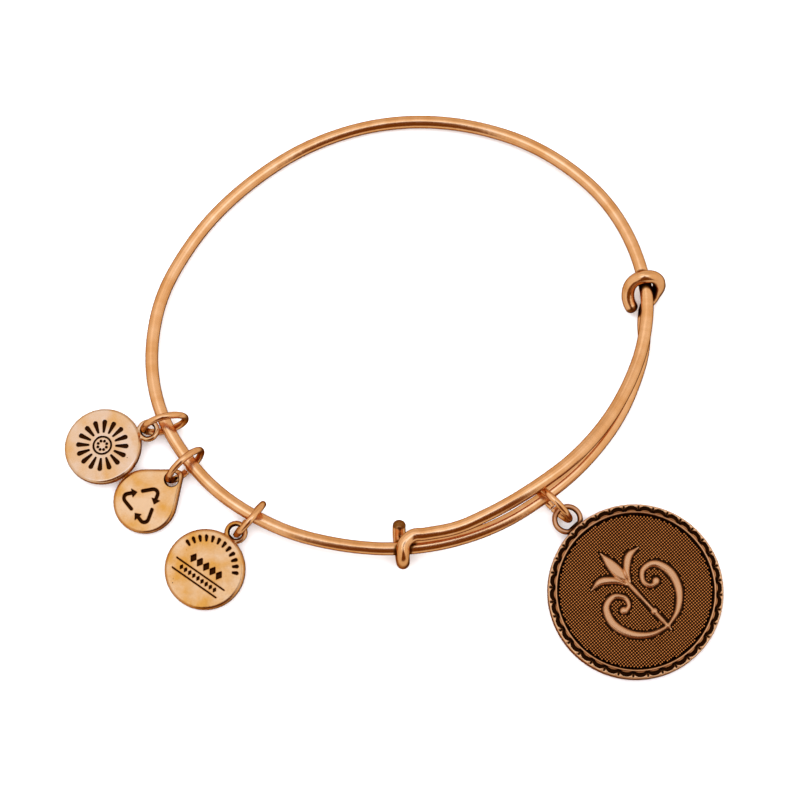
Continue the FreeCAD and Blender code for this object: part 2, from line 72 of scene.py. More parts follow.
class Value:
    """A number that varies over a surface: one socket, with arithmetic."""

    def __init__(self, shading: "Shading", socket: NodeSocket) -> None:
        """Wraps a socket of a material's node tree."""
        self.shading = shading
        self.socket = socket

    def _math(self, operation: str, *terms: Any, clamp: bool = False) -> "Value":
        """Adds a Math node.

        Args:
            operation: the node's operation.
            terms: its inputs, values or numbers.
            clamp: whether the result is held between 0 and 1.

        Returns:
            The result.
        """
        inputs = {index: term for index, term in enumerate(terms)}
        settings = {"operation": operation, "use_clamp": clamp}
        return Value(self.shading, self.shading.node("ShaderNodeMath", settings, inputs).outputs[0])

    def __add__(self, other: Any) -> "Value":
        """Sum."""
        return self._math("ADD", self, other)

    __radd__ = __add__

    def __sub__(self, other: Any) -> "Value":
        """Difference."""
        return self._math("SUBTRACT", self, other)

    def __rsub__(self, other: Any) -> "Value":
        """Difference, reflected."""
        return self._math("SUBTRACT", other, self)

    def __mul__(self, other: Any) -> "Value":
        """Product."""
        return self._math("MULTIPLY", self, other)

    __rmul__ = __mul__

    def clamp(self) -> "Value":
        """The value held between 0 and 1."""
        return self._math("ADD", self, 0.0, clamp=True)

    def rise(self, low: float, high: float) -> "Value":
        """A smooth step from 0 at low to 1 at high."""
        settings = {"interpolation_type": "SMOOTHSTEP"}
        inputs = {"Value": self, "From Min": low, "From Max": high}
        return Value(self.shading, self.shading.node("ShaderNodeMapRange", settings, inputs).outputs[0])


class Shading:
    """A material's node tree and the ways to add to it."""

    def __init__(self, name: str, room: bool = False) -> None:
        """Makes an empty material, or an empty room.

        Args:
            name: its name.
            room: whether it is the room round the object.
        """
        made = bpy.data.worlds.new(name) if room else bpy.data.materials.new(name)
        made.use_nodes = True
        self.material = made
        self.tree = made.node_tree
        self.tree.nodes.clear()
        kind = "ShaderNodeOutputWorld" if room else "ShaderNodeOutputMaterial"
        self.output = self.tree.nodes.new(kind)

    def node(
        self, kind: str, settings: Optional[dict] = None, inputs: Optional[dict] = None
    ) -> Node:
        """Adds any node.

        Args:
            kind: the node's type.
            settings: its properties, set first.
            inputs: values or links of its sockets, by name or number.

        Returns:
            The node.
        """
        made = self.tree.nodes.new(kind)
        for name, value in (settings or {}).items():
            setattr(made, name, value)
        for name, value in (inputs or {}).items():
            socket = made.inputs[name]
            if isinstance(value, Value):
                value = value.socket
            if isinstance(value, NodeSocket):
                self.tree.links.new(value, socket)
            else:
                socket.default_value = value
        return made

    def finish(self, surface: Node) -> Any:
        """Links the last node to the output and returns the material or the room."""
        self.tree.links.new(surface.outputs[0], self.output.inputs[0])
        return self.material

    def place(self) -> NodeSocket:
        """The piece's own coordinates, in metres."""
        return self.node("ShaderNodeTexCoord").outputs["Object"]

    def place_mm(self) -> NodeSocket:
        """The piece's own coordinates, in millimetres."""
        return self.stretched(self.place(), (1 / MM, 1 / MM, 1 / MM))

    def attribute(self, name: str, output: str = "Fac") -> Any:
        """An attribute of the piece.

        Args:
            name: the attribute's name.
            output: Fac for a number, Vector for a vector.

        Returns:
            A Value, or the vector's socket.
        """
        made = self.node("ShaderNodeAttribute", {"attribute_type": "GEOMETRY", "attribute_name": name})
        return Value(self, made.outputs[output]) if output == "Fac" else made.outputs[output]

    def stretched(self, vector: NodeSocket, scale: Sequence[float]) -> NodeSocket:
        """A vector scaled along each axis."""
        inputs = {"Vector": vector, "Scale": tuple(scale)}
        return self.node("ShaderNodeMapping", None, inputs).outputs[0]

    def noise(
        self, vector: NodeSocket, scale: float, detail: float = 2.0, rough: float = 0.5
    ) -> Value:
        """Soft noise between 0 and 1.

        Args:
            vector: where it is read.
            scale: how fine it is.
            detail: how many octaves.
            rough: how strong the finer octaves are.

        Returns:
            The noise.
        """
        inputs = {"Vector": vector, "Scale": scale, "Detail": detail, "Roughness": rough}
        noise = self.node("ShaderNodeTexNoise", {"noise_dimensions": "3D"}, inputs)
        return Value(self, noise.outputs[0])

    def spots(self, vector: NodeSocket, scale: float) -> Value:
        """Distance to scattered points, in cells."""
        made = self.node("ShaderNodeTexVoronoi", {"feature": "F1"}, {"Vector": vector, "Scale": scale})
        return Value(self, made.outputs["Distance"])

    def mixed(self, share: Value, below: Any, above: Any) -> NodeSocket:
        """Two colours mixed by a value."""
        made = self.node("ShaderNodeMix", {"data_type": "RGBA"}, {0: share})
        for number, colour in ((6, below), (7, above)):
            if isinstance(colour, NodeSocket):
                self.tree.links.new(colour, made.inputs[number])
            else:
                made.inputs[number].default_value = (*colour, 1.0)
        return made.outputs[2]

    def bump(self, height: Value, depth_mm: float) -> NodeSocket:
        """A normal from a height and the millimetres that a height of 1 stands for."""
        inputs = {"Height": height, "Strength": 1.0, "Distance": depth_mm * MM}
        return self.node("ShaderNodeBump", None, inputs).outputs[0]

    def metal(self, colour: NodeSocket, rough: Value, normal: NodeSocket, edge: tuple) -> Material:
        """Ends the tree in a metal surface.

        Args:
            colour: its base colour.
            rough: its roughness.
            normal: its bumped normal.
            edge: its tint where it is seen at a glancing angle.

        Returns:
            The material.
        """
        inputs = {"Base Color": colour, "Roughness": rough, "Normal": normal, "Metallic": 1.0}
        inputs["Specular Tint"] = (*edge, 1.0)
        return self.finish(self.node("ShaderNodeBsdfPrincipled", None, inputs))


@dataclass(frozen=True)
class RoseSatin:
    """Satin rose plating, with fine grain, faint blotches, pits, dark engraving and painted shade in
    crevices and holes.
    """

    pale: tuple = (0.84, 0.465, 0.225)
    deep: tuple = (0.76, 0.375, 0.145)
    # colours of patina and of painted shade
    brown: tuple = (0.20, 0.065, 0.008)
    dark: tuple = (0.034, 0.008, 0.001)
    edge: tuple = (0.42, 0.20, 0.08)
    rough_low: float = 0.14
    rough_high: float = 0.25
    blotch_tint: float = 3.2
    streak_tint: float = 0.45
    patina_and_shade_fray: float = 0.3
    patina_and_shade_rough: float = 0.25
    pit_pitch: float = 0.9
    pit_cover: float = 0.8
    pit_depth: float = 0.006

    def along_wire(self) -> Material:
        """The finish brushed along a wire, read from its grain attribute."""
        shading = Shading("rose_satin_wire")
        grain = shading.attribute("grain", "Vector")
        streaks = shading.noise(shading.stretched(grain, (0.35, 9.0, 9.0)), 1.0, 4.0, 0.65)
        return self._dress(shading, streaks, shading.noise(grain, 0.55, 3.0), grain, 0.0035, 0.02)

    def on_charm(self) -> Material:
        """The finish on a cast and tumbled charm."""
        shading = Shading("rose_satin_charm")
        place = shading.place_mm()
        streaks = shading.noise(place, 5.0, 5.0, 0.6)
        blotches = shading.noise(place, 0.4, 3.0, 0.45)
        return self._dress(shading, streaks, blotches, place, 0.0025, 0.05)

    def _dress(
        self, shading: Shading, streaks: Value, blotches: Value, place: Any, fine: float, wide: float
    ) -> Material:
        """Colours, roughens and bumps the metal.

        Args:
            shading: the material's tree.
            streaks: fine grain, 0 to 1.
            blotches: wide soft noise, 0 to 1.
            place: coordinates in millimetres.
            fine: depth of the grain in millimetres.
            wide: depth of the blotches in millimetres.

        Returns:
            The material.
        """
        # patina in engravings, and painted shade in crevices and holes, read from one attribute
        patina_and_shade = shading.attribute("patina_and_shade")
        pits = 1.0 - shading.spots(place, self.pit_pitch).rise(0.035, 0.07)
        pits = pits * shading.noise(place, 0.8, 0.0).rise(0.52, 0.6)
        warm = (blotches - 0.5) * self.blotch_tint + 0.45 + (streaks - 0.5) * self.streak_tint
        metal = shading.mixed(warm.clamp(), self.pale, self.deep)
        fray = (streaks - 0.5) * self.patina_and_shade_fray * patina_and_shade.rise(0.02, 0.4)
        cover = ((patina_and_shade + fray).rise(0.15, 0.75) + pits * self.pit_cover).clamp()
        colour = shading.mixed(cover.rise(0.0, 0.5), metal, self.brown)
        colour = shading.mixed(cover.rise(0.45, 1.0), colour, self.dark)
        rough = self.rough_low + (self.rough_high - self.rough_low) * streaks
        rough = rough + cover * self.patina_and_shade_rough
        height = streaks * fine + blotches * wide - pits * self.pit_depth
        return shading.metal(colour, rough.clamp(), shading.bump(height, 1.0), self.edge)


@dataclass(frozen=True)
class AntiqueCopper:
    """Dark antiqued copper, rubbed back to bright metal on what stands up, with painted highlights
    along edges and painted shade round the feet of the relief.
    """

    rubbed: tuple = (0.50, 0.225, 0.09)
    brown: tuple = (0.38, 0.13, 0.028)
    # colour of rubbed edges and of painted highlights
    bright: tuple = (0.88, 0.54, 0.30)
    # colour of patina and of painted shade
    dark: tuple = (0.022, 0.006, 0.001)
    edge: tuple = (0.35, 0.18, 0.09)
    cloud_tint: float = 1.4
    grain_tint: float = 0.6
    patina_and_shade_fray: float = 0.35
    grain_depth: float = 0.008

    def make(self) -> Material:
        """Builds the material."""
        shading = Shading("antique_copper")
        place = shading.place_mm()
        # patina in hollows, and painted shade round the feet of the relief
        patina_and_shade = shading.attribute("patina_and_shade")
        # rubbed wear, and painted highlights along edges
        wear_and_highlight = shading.attribute("wear_and_highlight")
        grain = shading.noise(place, 7.0, 5.0, 0.6)
        clouds = shading.noise(place, 0.3, 3.0)
        worn = (clouds * self.cloud_tint - 0.35 + (grain - 0.5) * self.grain_tint).clamp()
        metal = shading.mixed(worn * 0.8, self.rubbed, self.brown)
        metal = shading.mixed((wear_and_highlight * (0.6 + 0.6 * grain)).clamp(), metal, self.bright)
        fray = (grain - 0.5) * self.patina_and_shade_fray * patina_and_shade.rise(0.02, 0.3)
        cover = (patina_and_shade + fray).rise(0.12, 0.8)
        colour = shading.mixed(cover, metal, self.dark)
        rough = (0.24 + grain * 0.16 + cover * 0.3).clamp()
        return shading.metal(colour, rough, shading.bump(grain, self.grain_depth), self.edge)


@dataclass(frozen=True)
class PaleFloor:
    """The plain pale surface under the bangle."""

    colour: tuple = (0.93, 0.93, 0.93)
    darker: float = 0.995

    def make(self) -> Material:
        """Builds the material."""
        shading = Shading("pale_floor")
        speckle = shading.noise(shading.place(), 900.0, 2.0)
        colour = shading.mixed(speckle, self.colour, tuple(part * self.darker for part in self.colour))
        inputs = {"Base Color": colour, "Roughness": 0.9, "Specular IOR Level": 0.0}
        return shading.finish(shading.node("ShaderNodeBsdfPrincipled", None, inputs))


# Mesh helpers


def shown(name: str, data: Any) -> Object:
    """A new object in the scene."""
    made = bpy.data.objects.new(name, data)
    bpy.context.scene.collection.objects.link(made)
    return made


def verts_in(items: Sequence[Any]) -> list[BMVert]:
    """The vertices among what an operator made."""
    return [item for item in items if isinstance(item, BMVert)]


def heading(degrees: float) -> Vector:
    """The level direction at an angle from X."""
    turn = math.radians(degrees)
    return Vector((math.cos(turn), math.sin(turn), 0))


def finish_mesh(bm: BMesh, name: str, material: Material) -> Object:
    """Turns a bmesh in millimetres into a smooth-shaded piece in metres.

    Args:
        bm: the mesh, which is freed.
        name: the piece's name.
        material: its finish.

    Returns:
        The piece, riding on the one body.
    """
    bmesh.ops.scale(bm, vec=(MM, MM, MM), verts=bm.verts)
    mesh = bpy.data.meshes.new(name)
    bm.to_mesh(mesh)
    bm.free()
    mesh.shade_smooth()
    mesh.materials.append(material)
    piece = shown(name, mesh)
    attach(piece, "root")
    return piece


def modified(shapes: Sequence[BMesh], kind: str, **settings: Any) -> BMesh:
    """Runs a modifier on a shape.

    Args:
        shapes: the shape, and the other shape where the modifier takes one, freed here.
        kind: the modifier's type.
        settings: its properties.

    Returns:
        The new mesh.
    """
    pieces = []
    for shape in shapes:
        mesh = bpy.data.meshes.new("scratch")
        shape.to_mesh(mesh)
        shape.free()
        pieces.append(shown("scratch", mesh))
    modifier = pieces[0].modifiers.new("change", kind)
    for name, value in settings.items():
        setattr(modifier, name, value)
    if len(pieces) > 1:
        modifier.object = pieces[1]
    graph = bpy.context.evaluated_depsgraph_get()
    changed = bpy.data.meshes.new_from_object(pieces[0].evaluated_get(graph))
    result = bmesh.new()
    result.from_mesh(changed)
    meshes = [piece.data for piece in pieces] + [changed]
    for piece in pieces:
        bpy.data.objects.remove(piece)
    for mesh in meshes:
        bpy.data.meshes.remove(mesh)
    return result


def cast(bm: BMesh, voxel: float, passes: int) -> BMesh:
    """Melts overlapping closed shapes into one soft skin.

    Args:
        bm: the shapes in millimetres, freed here.
        voxel: the size of the new faces.
        passes: how often the skin is softened.

    Returns:
        The new mesh.
    """
    result = modified([bm], "REMESH", mode="VOXEL", voxel_size=voxel)
    for _ in range(passes):
        bmesh.ops.smooth_vert(
            result, verts=result.verts, factor=0.5, use_axis_x=True, use_axis_y=True, use_axis_z=True
        )
    return result


def full_turn(bm: BMesh, geom: list, middle: Vector, steps: int) -> None:
    """Spins a section once round an upright axis and closes the seam.

    Args:
        bm: the mesh that holds the section.
        geom: its vertices and edges.
        middle: a point of the axis.
        steps: how many steps make the turn.
    """
    bmesh.ops.spin(
        bm, geom=geom, cent=middle, axis=(0, 0, 1), angle=math.tau, steps=steps, use_merge=True
    )
    bmesh.ops.remove_doubles(bm, verts=bm.verts, dist=1e-5)
    bmesh.ops.recalc_face_normals(bm, faces=bm.faces)


def spun_profile(bm: BMesh, points: Sequence[tuple], steps: int) -> None:
    """Spins a profile round Z.

    Args:
        bm: the mesh it is added to.
        points: (distance from the axis, height) pairs, in order.
        steps: how many steps make the turn.
    """
    verts = [bm.verts.new((x, 0.0, z)) for x, z in points]
    edges = [bm.edges.new(pair) for pair in zip(verts, verts[1:])]
    full_turn(bm, verts + edges, Vector(), steps)


def rounded(x: float, z: float, radius: float, start: float, steps: int) -> list[tuple]:
    """Points of a quarter circle.

    Args:
        x: its middle's distance from the axis.
        z: its middle's height.
        radius: its radius.
        start: the angle where it starts, in degrees; it ends 90 degrees on.
        steps: how many straight pieces it has.

    Returns:
        The points.
    """
    turns = [math.radians(start + 90 * step / steps) for step in range(steps + 1)]
    return [(x + radius * math.cos(turn), z + radius * math.sin(turn)) for turn in turns]


def torus(
    bm: BMesh, middle: Vector, major: float, minor: float, tall: float, sides: int,
    steps: int,
) -> None:
    """Adds a lying ring.

    Args:
        bm: the mesh it is added to.
        middle: its middle.
        major: its centreline radius.
        minor: half its width.
        tall: how tall its section is compared with its width.
        sides: faces round the section.
        steps: steps round the ring.
    """
    turn = Matrix.Translation(middle + Vector((major, 0, 0))) @ Matrix.Rotation(math.pi / 2, 4, "X")
    turn = turn @ Matrix.Diagonal((1.0, tall, 1.0, 1.0))
    section = bmesh.ops.create_circle(bm, segments=sides, radius=minor, matrix=turn)["verts"]
    edges = [edge for edge in bm.edges if edge.verts[0] in section and edge.verts[1] in section]
    full_turn(bm, section + edges, middle, steps)


def places_of(bm: BMesh) -> np.ndarray:
    """The vertices' places, one row each."""
    return np.array([vert.co for vert in bm.verts], float)


def move_to(bm: BMesh, places: np.ndarray) -> None:
    """Moves every vertex to its row."""
    for vert, place in zip(bm.verts, places):
        vert.co = place


def set_numbers(bm: BMesh, name: str, numbers: np.ndarray) -> None:
    """Gives every vertex its number in a named attribute."""
    layer = bm.verts.layers.float.get(name) or bm.verts.layers.float.new(name)
    for vert, number in zip(bm.verts, numbers):
        vert[layer] = float(number)


def smooth_step(values: np.ndarray, low: float, high: float) -> np.ndarray:
    """A smooth step from 0 at low to 1 at high."""
    share = np.clip((values - low) / (high - low), 0.0, 1.0)
    return share * share * (3 - 2 * share)


def distance_to(flat: np.ndarray, x: float, y: float) -> np.ndarray:
    """Each point's distance to one point."""
    return np.linalg.norm(flat - np.array((x, y)), axis=1)


def laid_down(
    x: float, y: float, ear: float, raised: float, tilt: float, reach: float, edge: float
) -> Matrix:
    """The place of a charm that lies with one side of its rim on the floor.

    Args:
        x: the charm's middle.
        y: the same.
        ear: direction of its ear, degrees.
        raised: direction of its raised side, degrees.
        tilt: how far that side is raised, degrees.
        reach: its middle to its rim.
        edge: rounding of the rim.

    Returns:
        The matrix that places it.
    """
    lean = math.radians(tilt)
    rise = (reach - edge) * math.sin(lean) + edge * (1 - math.cos(lean))
    tip_up = Matrix.Rotation(lean, 4, heading(raised).cross(Vector((0, 0, 1))))
    turn = Matrix.Rotation(math.radians(ear - 90), 4, "Z")
    return Matrix.Translation((x, y, rise)) @ tip_up @ turn


# Flat shapes as distances: less than 0 inside


def bar(
    places: np.ndarray, start: tuple, end: tuple, half: float, half_end: Optional[float] = None
) -> np.ndarray:
    """Distance to a stroke with round ends.

    Args:
        places: points, one row each.
        start: its start.
        end: its end.
        half: its half width.
        half_end: its half width at its end, if it tapers.

    Returns:
        The distances.
    """
    first = np.array(start, float)
    way = np.array(end, float) - first
    share = np.clip((places - first) @ way / (way @ way), 0.0, 1.0)
    gap = np.linalg.norm(places - first - share[:, None] * way, axis=1)
    return gap - half - share * ((half_end if half_end is not None else half) - half)


def polygon(places: np.ndarray, corners: Sequence[tuple]) -> np.ndarray:
    """Distance to a convex shape.

    Args:
        places: points, one row each.
        corners: its corners, turning left.

    Returns:
        The distances.
    """
    worst = np.full(len(places), -1e9)
    for corner, after in zip(corners, list(corners[1:]) + [corners[0]]):
        side = np.array(after, float) - np.array(corner, float)
        out = np.array((side[1], -side[0])) / np.linalg.norm(side)
        worst = np.maximum(worst, (places - np.array(corner, float)) @ out)
    return worst


def spun(places: np.ndarray, degrees: float) -> np.ndarray:
    """Points turned back by an angle, so that a shape drawn in them is turned forward."""
    turn = math.radians(degrees)
    rows = np.array(((math.cos(turn), -math.sin(turn)), (math.sin(turn), math.cos(turn))))
    return places @ rows


def nearest(*distances: np.ndarray) -> np.ndarray:
    """The union of shapes."""
    return np.minimum.reduce(distances)


# The wire


@dataclass
class BangleWire:
    """The sprung wire: its hooks and its way round the wrist."""

    material: Material
    radius: float = 0.8
    sides: int = 28
    step: float = 0.45
    hook_length: float = 11.0
    turn_per_step: float = 9.0
    dome_steps: int = 6
    dome_height: float = 0.8
    tip_patina: float = 0.42
    tip_fade: float = 0.35
    # how dark the painted shade is where strands run close together
    contact_shade: float = 0.9
    contact_gaps: tuple = (0.1, 1.1)
    own_reach: float = 3.0
    upper_hook: tuple = (
        # x, y, height, tip first
        (28.05, 3.15, 1.55), (27.55, 4.75, 2.35), (28.20, 6.00, 3.60), (29.75, 6.45, 4.22),
        (31.00, 6.35, 3.50), (31.44, 5.85, 2.45), (30.80, 4.80, 1.12), (29.90, 3.55, 0.87),
    )
    round_wrist: tuple = (
        # angle, distance, height
        (3.2, 29.62, 0.86), (358.5, 29.58, 0.82), (344.2, 28.73, 1.10), (323.5, 27.48, 2.30),
        (309.4, 26.92, 2.80), (294.0, 26.85, 2.80), (282.4, 26.92, 2.60), (268.1, 27.25, 2.50),
        (255.6, 27.75, 2.40), (236.2, 29.19, 2.20), (216.3, 30.78, 2.00), (196.1, 31.65, 1.90),
        (175.4, 30.74, 1.30), (154.7, 28.70, 0.86), (134.5, 27.23, 0.82), (114.6, 26.82, 0.82),
        (94.9, 27.04, 0.82), (75.2, 27.68, 1.00), (50.3, 29.04, 1.60), (30.0, 30.05, 2.20),
        (16.5, 30.22, 2.50), (6.7, 30.10, 2.52), (358.9, 29.52, 2.72), (343.0, 28.04, 4.00),
        (322.0, 26.46, 5.70), (308.3, 25.71, 6.15), (293.2, 25.60, 5.60), (284.0, 25.83, 4.85),
        (275.5, 25.86, 4.38),
    )
    lower_hook: tuple = (
        # x, y, height, tip last
        (0.85, -25.98, 4.36), (-0.10, -26.90, 4.32), (-0.23, -28.30, 3.90), (-0.23, -28.95, 2.60),
        (-0.35, -28.35, 1.20), (-0.50, -27.05, 0.84), (-0.70, -25.45, 1.08), (-0.72, -24.25, 1.85),
    )

    def stations(self) -> list[Vector]:
        """The points that the centreline passes through."""
        points = [Vector(row) for row in self.upper_hook]
        for degrees, reach, height in self.round_wrist:
            turn = math.radians(degrees)
            points.append(Vector((reach * math.cos(turn), reach * math.sin(turn), height)))
        return points + [Vector(row) for row in self.lower_hook]

    @staticmethod
    def directions(points: Sequence[Vector]) -> list[Vector]:
        """The centreline's direction at each station."""
        ways = []
        for before, here, after in zip(points, points[1:], points[2:]):
            arriving = (here - before).normalized() * (after - here).length
            leaving = (after - here).normalized() * (here - before).length
            ways.append((arriving + leaving).normalized())
        ends = []
        for way, chord in ((ways[0], points[1] - points[0]), (ways[-1], points[-1] - points[-2])):
            along = chord.normalized()
            ends.append(along * (2 * along.dot(way)) - way)
        return [ends[0]] + ways + [ends[1]]

    def arcs(self) -> list[tuple]:
        """The chain of tangent arcs, each as (start, direction, end)."""
        points = self.stations()
        ways = self.directions(points)
        chain = []
        for start, way, end, way_on in zip(points, ways, points[1:], ways[1:]):
            chord = end - start
            slope = chord.dot(way + way_on)
            spread = max(1 - way.dot(way_on), 1e-9)
            reach = (math.sqrt(slope ** 2 + 2 * spread * chord.dot(chord)) - slope) / (2 * spread)
            near = start + way * reach
            far = end - way_on * reach
            middle = (near + far) / 2
            chain.append((start, way, middle))
            chain.append((middle, (far - near).normalized(), end))
        return chain

    def build(self) -> Object:
        """Spins the section along every arc and closes both ends."""
        bm = bmesh.new()
        layer = bm.verts.layers.float_vector.new("grain")
        start, way, _ = self.arcs()[0]
        turn = Matrix.Translation(start) @ way.to_track_quat("Z", "Y").to_matrix().to_4x4()
        circle = bmesh.ops.create_circle(bm, segments=self.sides, radius=self.radius, matrix=turn)
        ring = circle["verts"]
        first = list(ring)
        length = 0.0
        self._mark(ring, layer, length)
        for start, way, end in self.arcs():
            chord = end - start
            inward = (chord - way * chord.dot(way)).normalized()
            bend = chord.dot(chord) / (2 * chord.dot(inward))
            angle = 2 * math.atan2(chord.dot(inward), chord.dot(way))
            turns = math.ceil(math.degrees(angle) / self.turn_per_step)
            steps = max(2, math.ceil(bend * angle / self.step), turns)
            centre, axis = start + inward * bend, way.cross(inward)
            part = angle / steps
            for _ in range(steps):
                geom = ring + self._ring_edges(ring)
                made = bmesh.ops.spin(bm, geom=geom, cent=centre, axis=axis, angle=part, steps=1)
                ring = verts_in(made["geom_last"])
                length += bend * angle / steps
                self._mark(ring, layer, length)
            ending = Matrix.Rotation(angle, 3, axis) @ way
        self._dome(bm, ring, ending, layer, length)
        self._dome(bm, first, -self.arcs()[0][1], layer, 0.0)
        bmesh.ops.recalc_face_normals(bm, faces=bm.faces)
        set_numbers(bm, "patina_and_shade", self._contacts(bm, layer))
        piece = finish_mesh(bm, "wire_brushed", self.material)
        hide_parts("bangle_wire")
        return piece

    def _contacts(self, bm: BMesh, layer: Any) -> np.ndarray:
        """Patina at the ends, and painted shade wherever a hook and another strand run close together.
        """
        places = places_of(bm)
        lengths = np.array([vert[layer].x for vert in bm.verts])
        total = lengths.max()
        tip = np.minimum(lengths, total - lengths)
        patina_and_shade = self.tip_patina * (1 - smooth_step(tip, 0.0, self.tip_fade))
        travelled = 0.0
        for start, _, end in self.arcs():
            span = (end - start).length
            travelled += span
            middle = travelled - span / 2
            hooked = min(middle, total - middle) < self.hook_length
            apart = np.abs(lengths - middle) > span / 2 + self.own_reach
            other = apart & (hooked | (tip < self.hook_length))
            away = np.array((end - start) / span)
            centre = np.array((start + end) / 2)
            along = np.clip((places - centre) @ away, -span / 2, span / 2)
            gap = np.linalg.norm(places - centre - along[:, None] * away, axis=1) - self.radius
            # painted shade where another strand runs close
            near = self.contact_shade * (1 - smooth_step(gap, *self.contact_gaps))
            patina_and_shade = np.maximum(patina_and_shade, np.where(other, near, 0.0))
        return patina_and_shade

    @staticmethod
    def _middle(ring: Sequence[BMVert]) -> Vector:
        """The middle of a ring."""
        return sum((vert.co for vert in ring), Vector()) / len(ring)

    @staticmethod
    def _ring_edges(ring: Sequence[BMVert]) -> list[BMEdge]:
        """The edges that join a ring's vertices."""
        inside = set(ring)
        edges = {edge for vert in ring for edge in vert.link_edges if edge.other_vert(vert) in inside}
        return list(edges)

    def _mark(self, ring: Sequence[BMVert], layer: Any, length: float) -> None:
        """Writes a ring's grain: its length along the wire and its place round the section."""
        middle = self._middle(ring)
        reference = Vector((0, 0, 1))
        for vert in ring:
            spoke = vert.co - middle
            side = spoke.dot(reference)
            vert[layer] = Vector((length, side, spoke.length - abs(side)))

    def _dome(self, bm: BMesh, ring: list, outward: Vector, layer: Any, length: float) -> None:
        """Closes an end with a rounded, slightly flattened cap.

        Args:
            bm: the wire.
            ring: its last ring.
            outward: the direction out of the end.
            layer: the grain.
            length: the wire's length there.
        """
        middle = self._middle(ring)
        for step in range(1, self.dome_steps):
            rise = math.pi / 2 * step / self.dome_steps
            before = math.pi / 2 * (step - 1) / self.dome_steps
            ring = verts_in(bmesh.ops.extrude_edge_only(bm, edges=self._ring_edges(ring))["geom"])
            shrink = math.cos(rise) / math.cos(before)
            at = Matrix.Translation(-middle)
            bmesh.ops.scale(bm, vec=(shrink, shrink, shrink), space=at, verts=ring)
            shift = outward * self.radius * self.dome_height * (math.sin(rise) - math.sin(before))
            bmesh.ops.translate(bm, vec=shift, verts=ring)
            middle = middle + shift
            self._mark(ring, layer, length)
        bmesh.ops.contextual_create(bm, geom=ring)


@dataclass
class JumpRing:
    """A round wire ring, upright through an ear."""

    material: Material
    name: str
    node: str
    radius: float
    x: float
    y: float
    toward: float
    lean: float
    wire: float = 0.42
    sweep: float = 357.0
    clearance: float = 0.02
    sides: int = 20
    steps: int = 110

    def build(self) -> Object:
        """Spins the ring and closes its butt joint."""
        bm = bmesh.new()
        layer = bm.verts.layers.float_vector.new("grain")
        turn = Matrix.Translation((self.radius, 0, 0)) @ Matrix.Rotation(math.pi / 2, 4, "X")
        bmesh.ops.create_circle(bm, segments=self.sides, radius=self.wire, matrix=turn, cap_ends=True)
        geom = list(bm.verts) + list(bm.edges) + list(bm.faces)
        sweep = math.radians(self.sweep)
        bmesh.ops.spin(bm, geom=geom, cent=(0, 0, 0), axis=(0, 0, 1), angle=sweep, steps=self.steps)
        bmesh.ops.recalc_face_normals(bm, faces=bm.faces)
        for vert in bm.verts:
            angle = math.atan2(vert.co.y, vert.co.x) % math.tau
            reach = math.hypot(vert.co.x, vert.co.y)
            vert[layer] = Vector((angle * self.radius, reach - self.radius, vert.co.z))
        set_numbers(bm, "patina_and_shade", np.zeros(len(bm.verts)))
        along = heading(self.toward)
        upright = Matrix.Rotation(math.radians(self.lean), 3, along) @ Vector((0, 0, 1))
        height = self.radius * upright.z + self.wire + self.clearance
        across = along.cross(upright) * -1
        rows = Matrix((upright * -1, across.cross(upright * -1), across)).transposed()
        place = Matrix.Translation((self.x, self.y, height)) @ rows.to_4x4()
        bmesh.ops.transform(bm, matrix=place, verts=bm.verts)
        piece = finish_mesh(bm, self.name, self.material)
        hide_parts(self.node)
        return piece


# The small charms


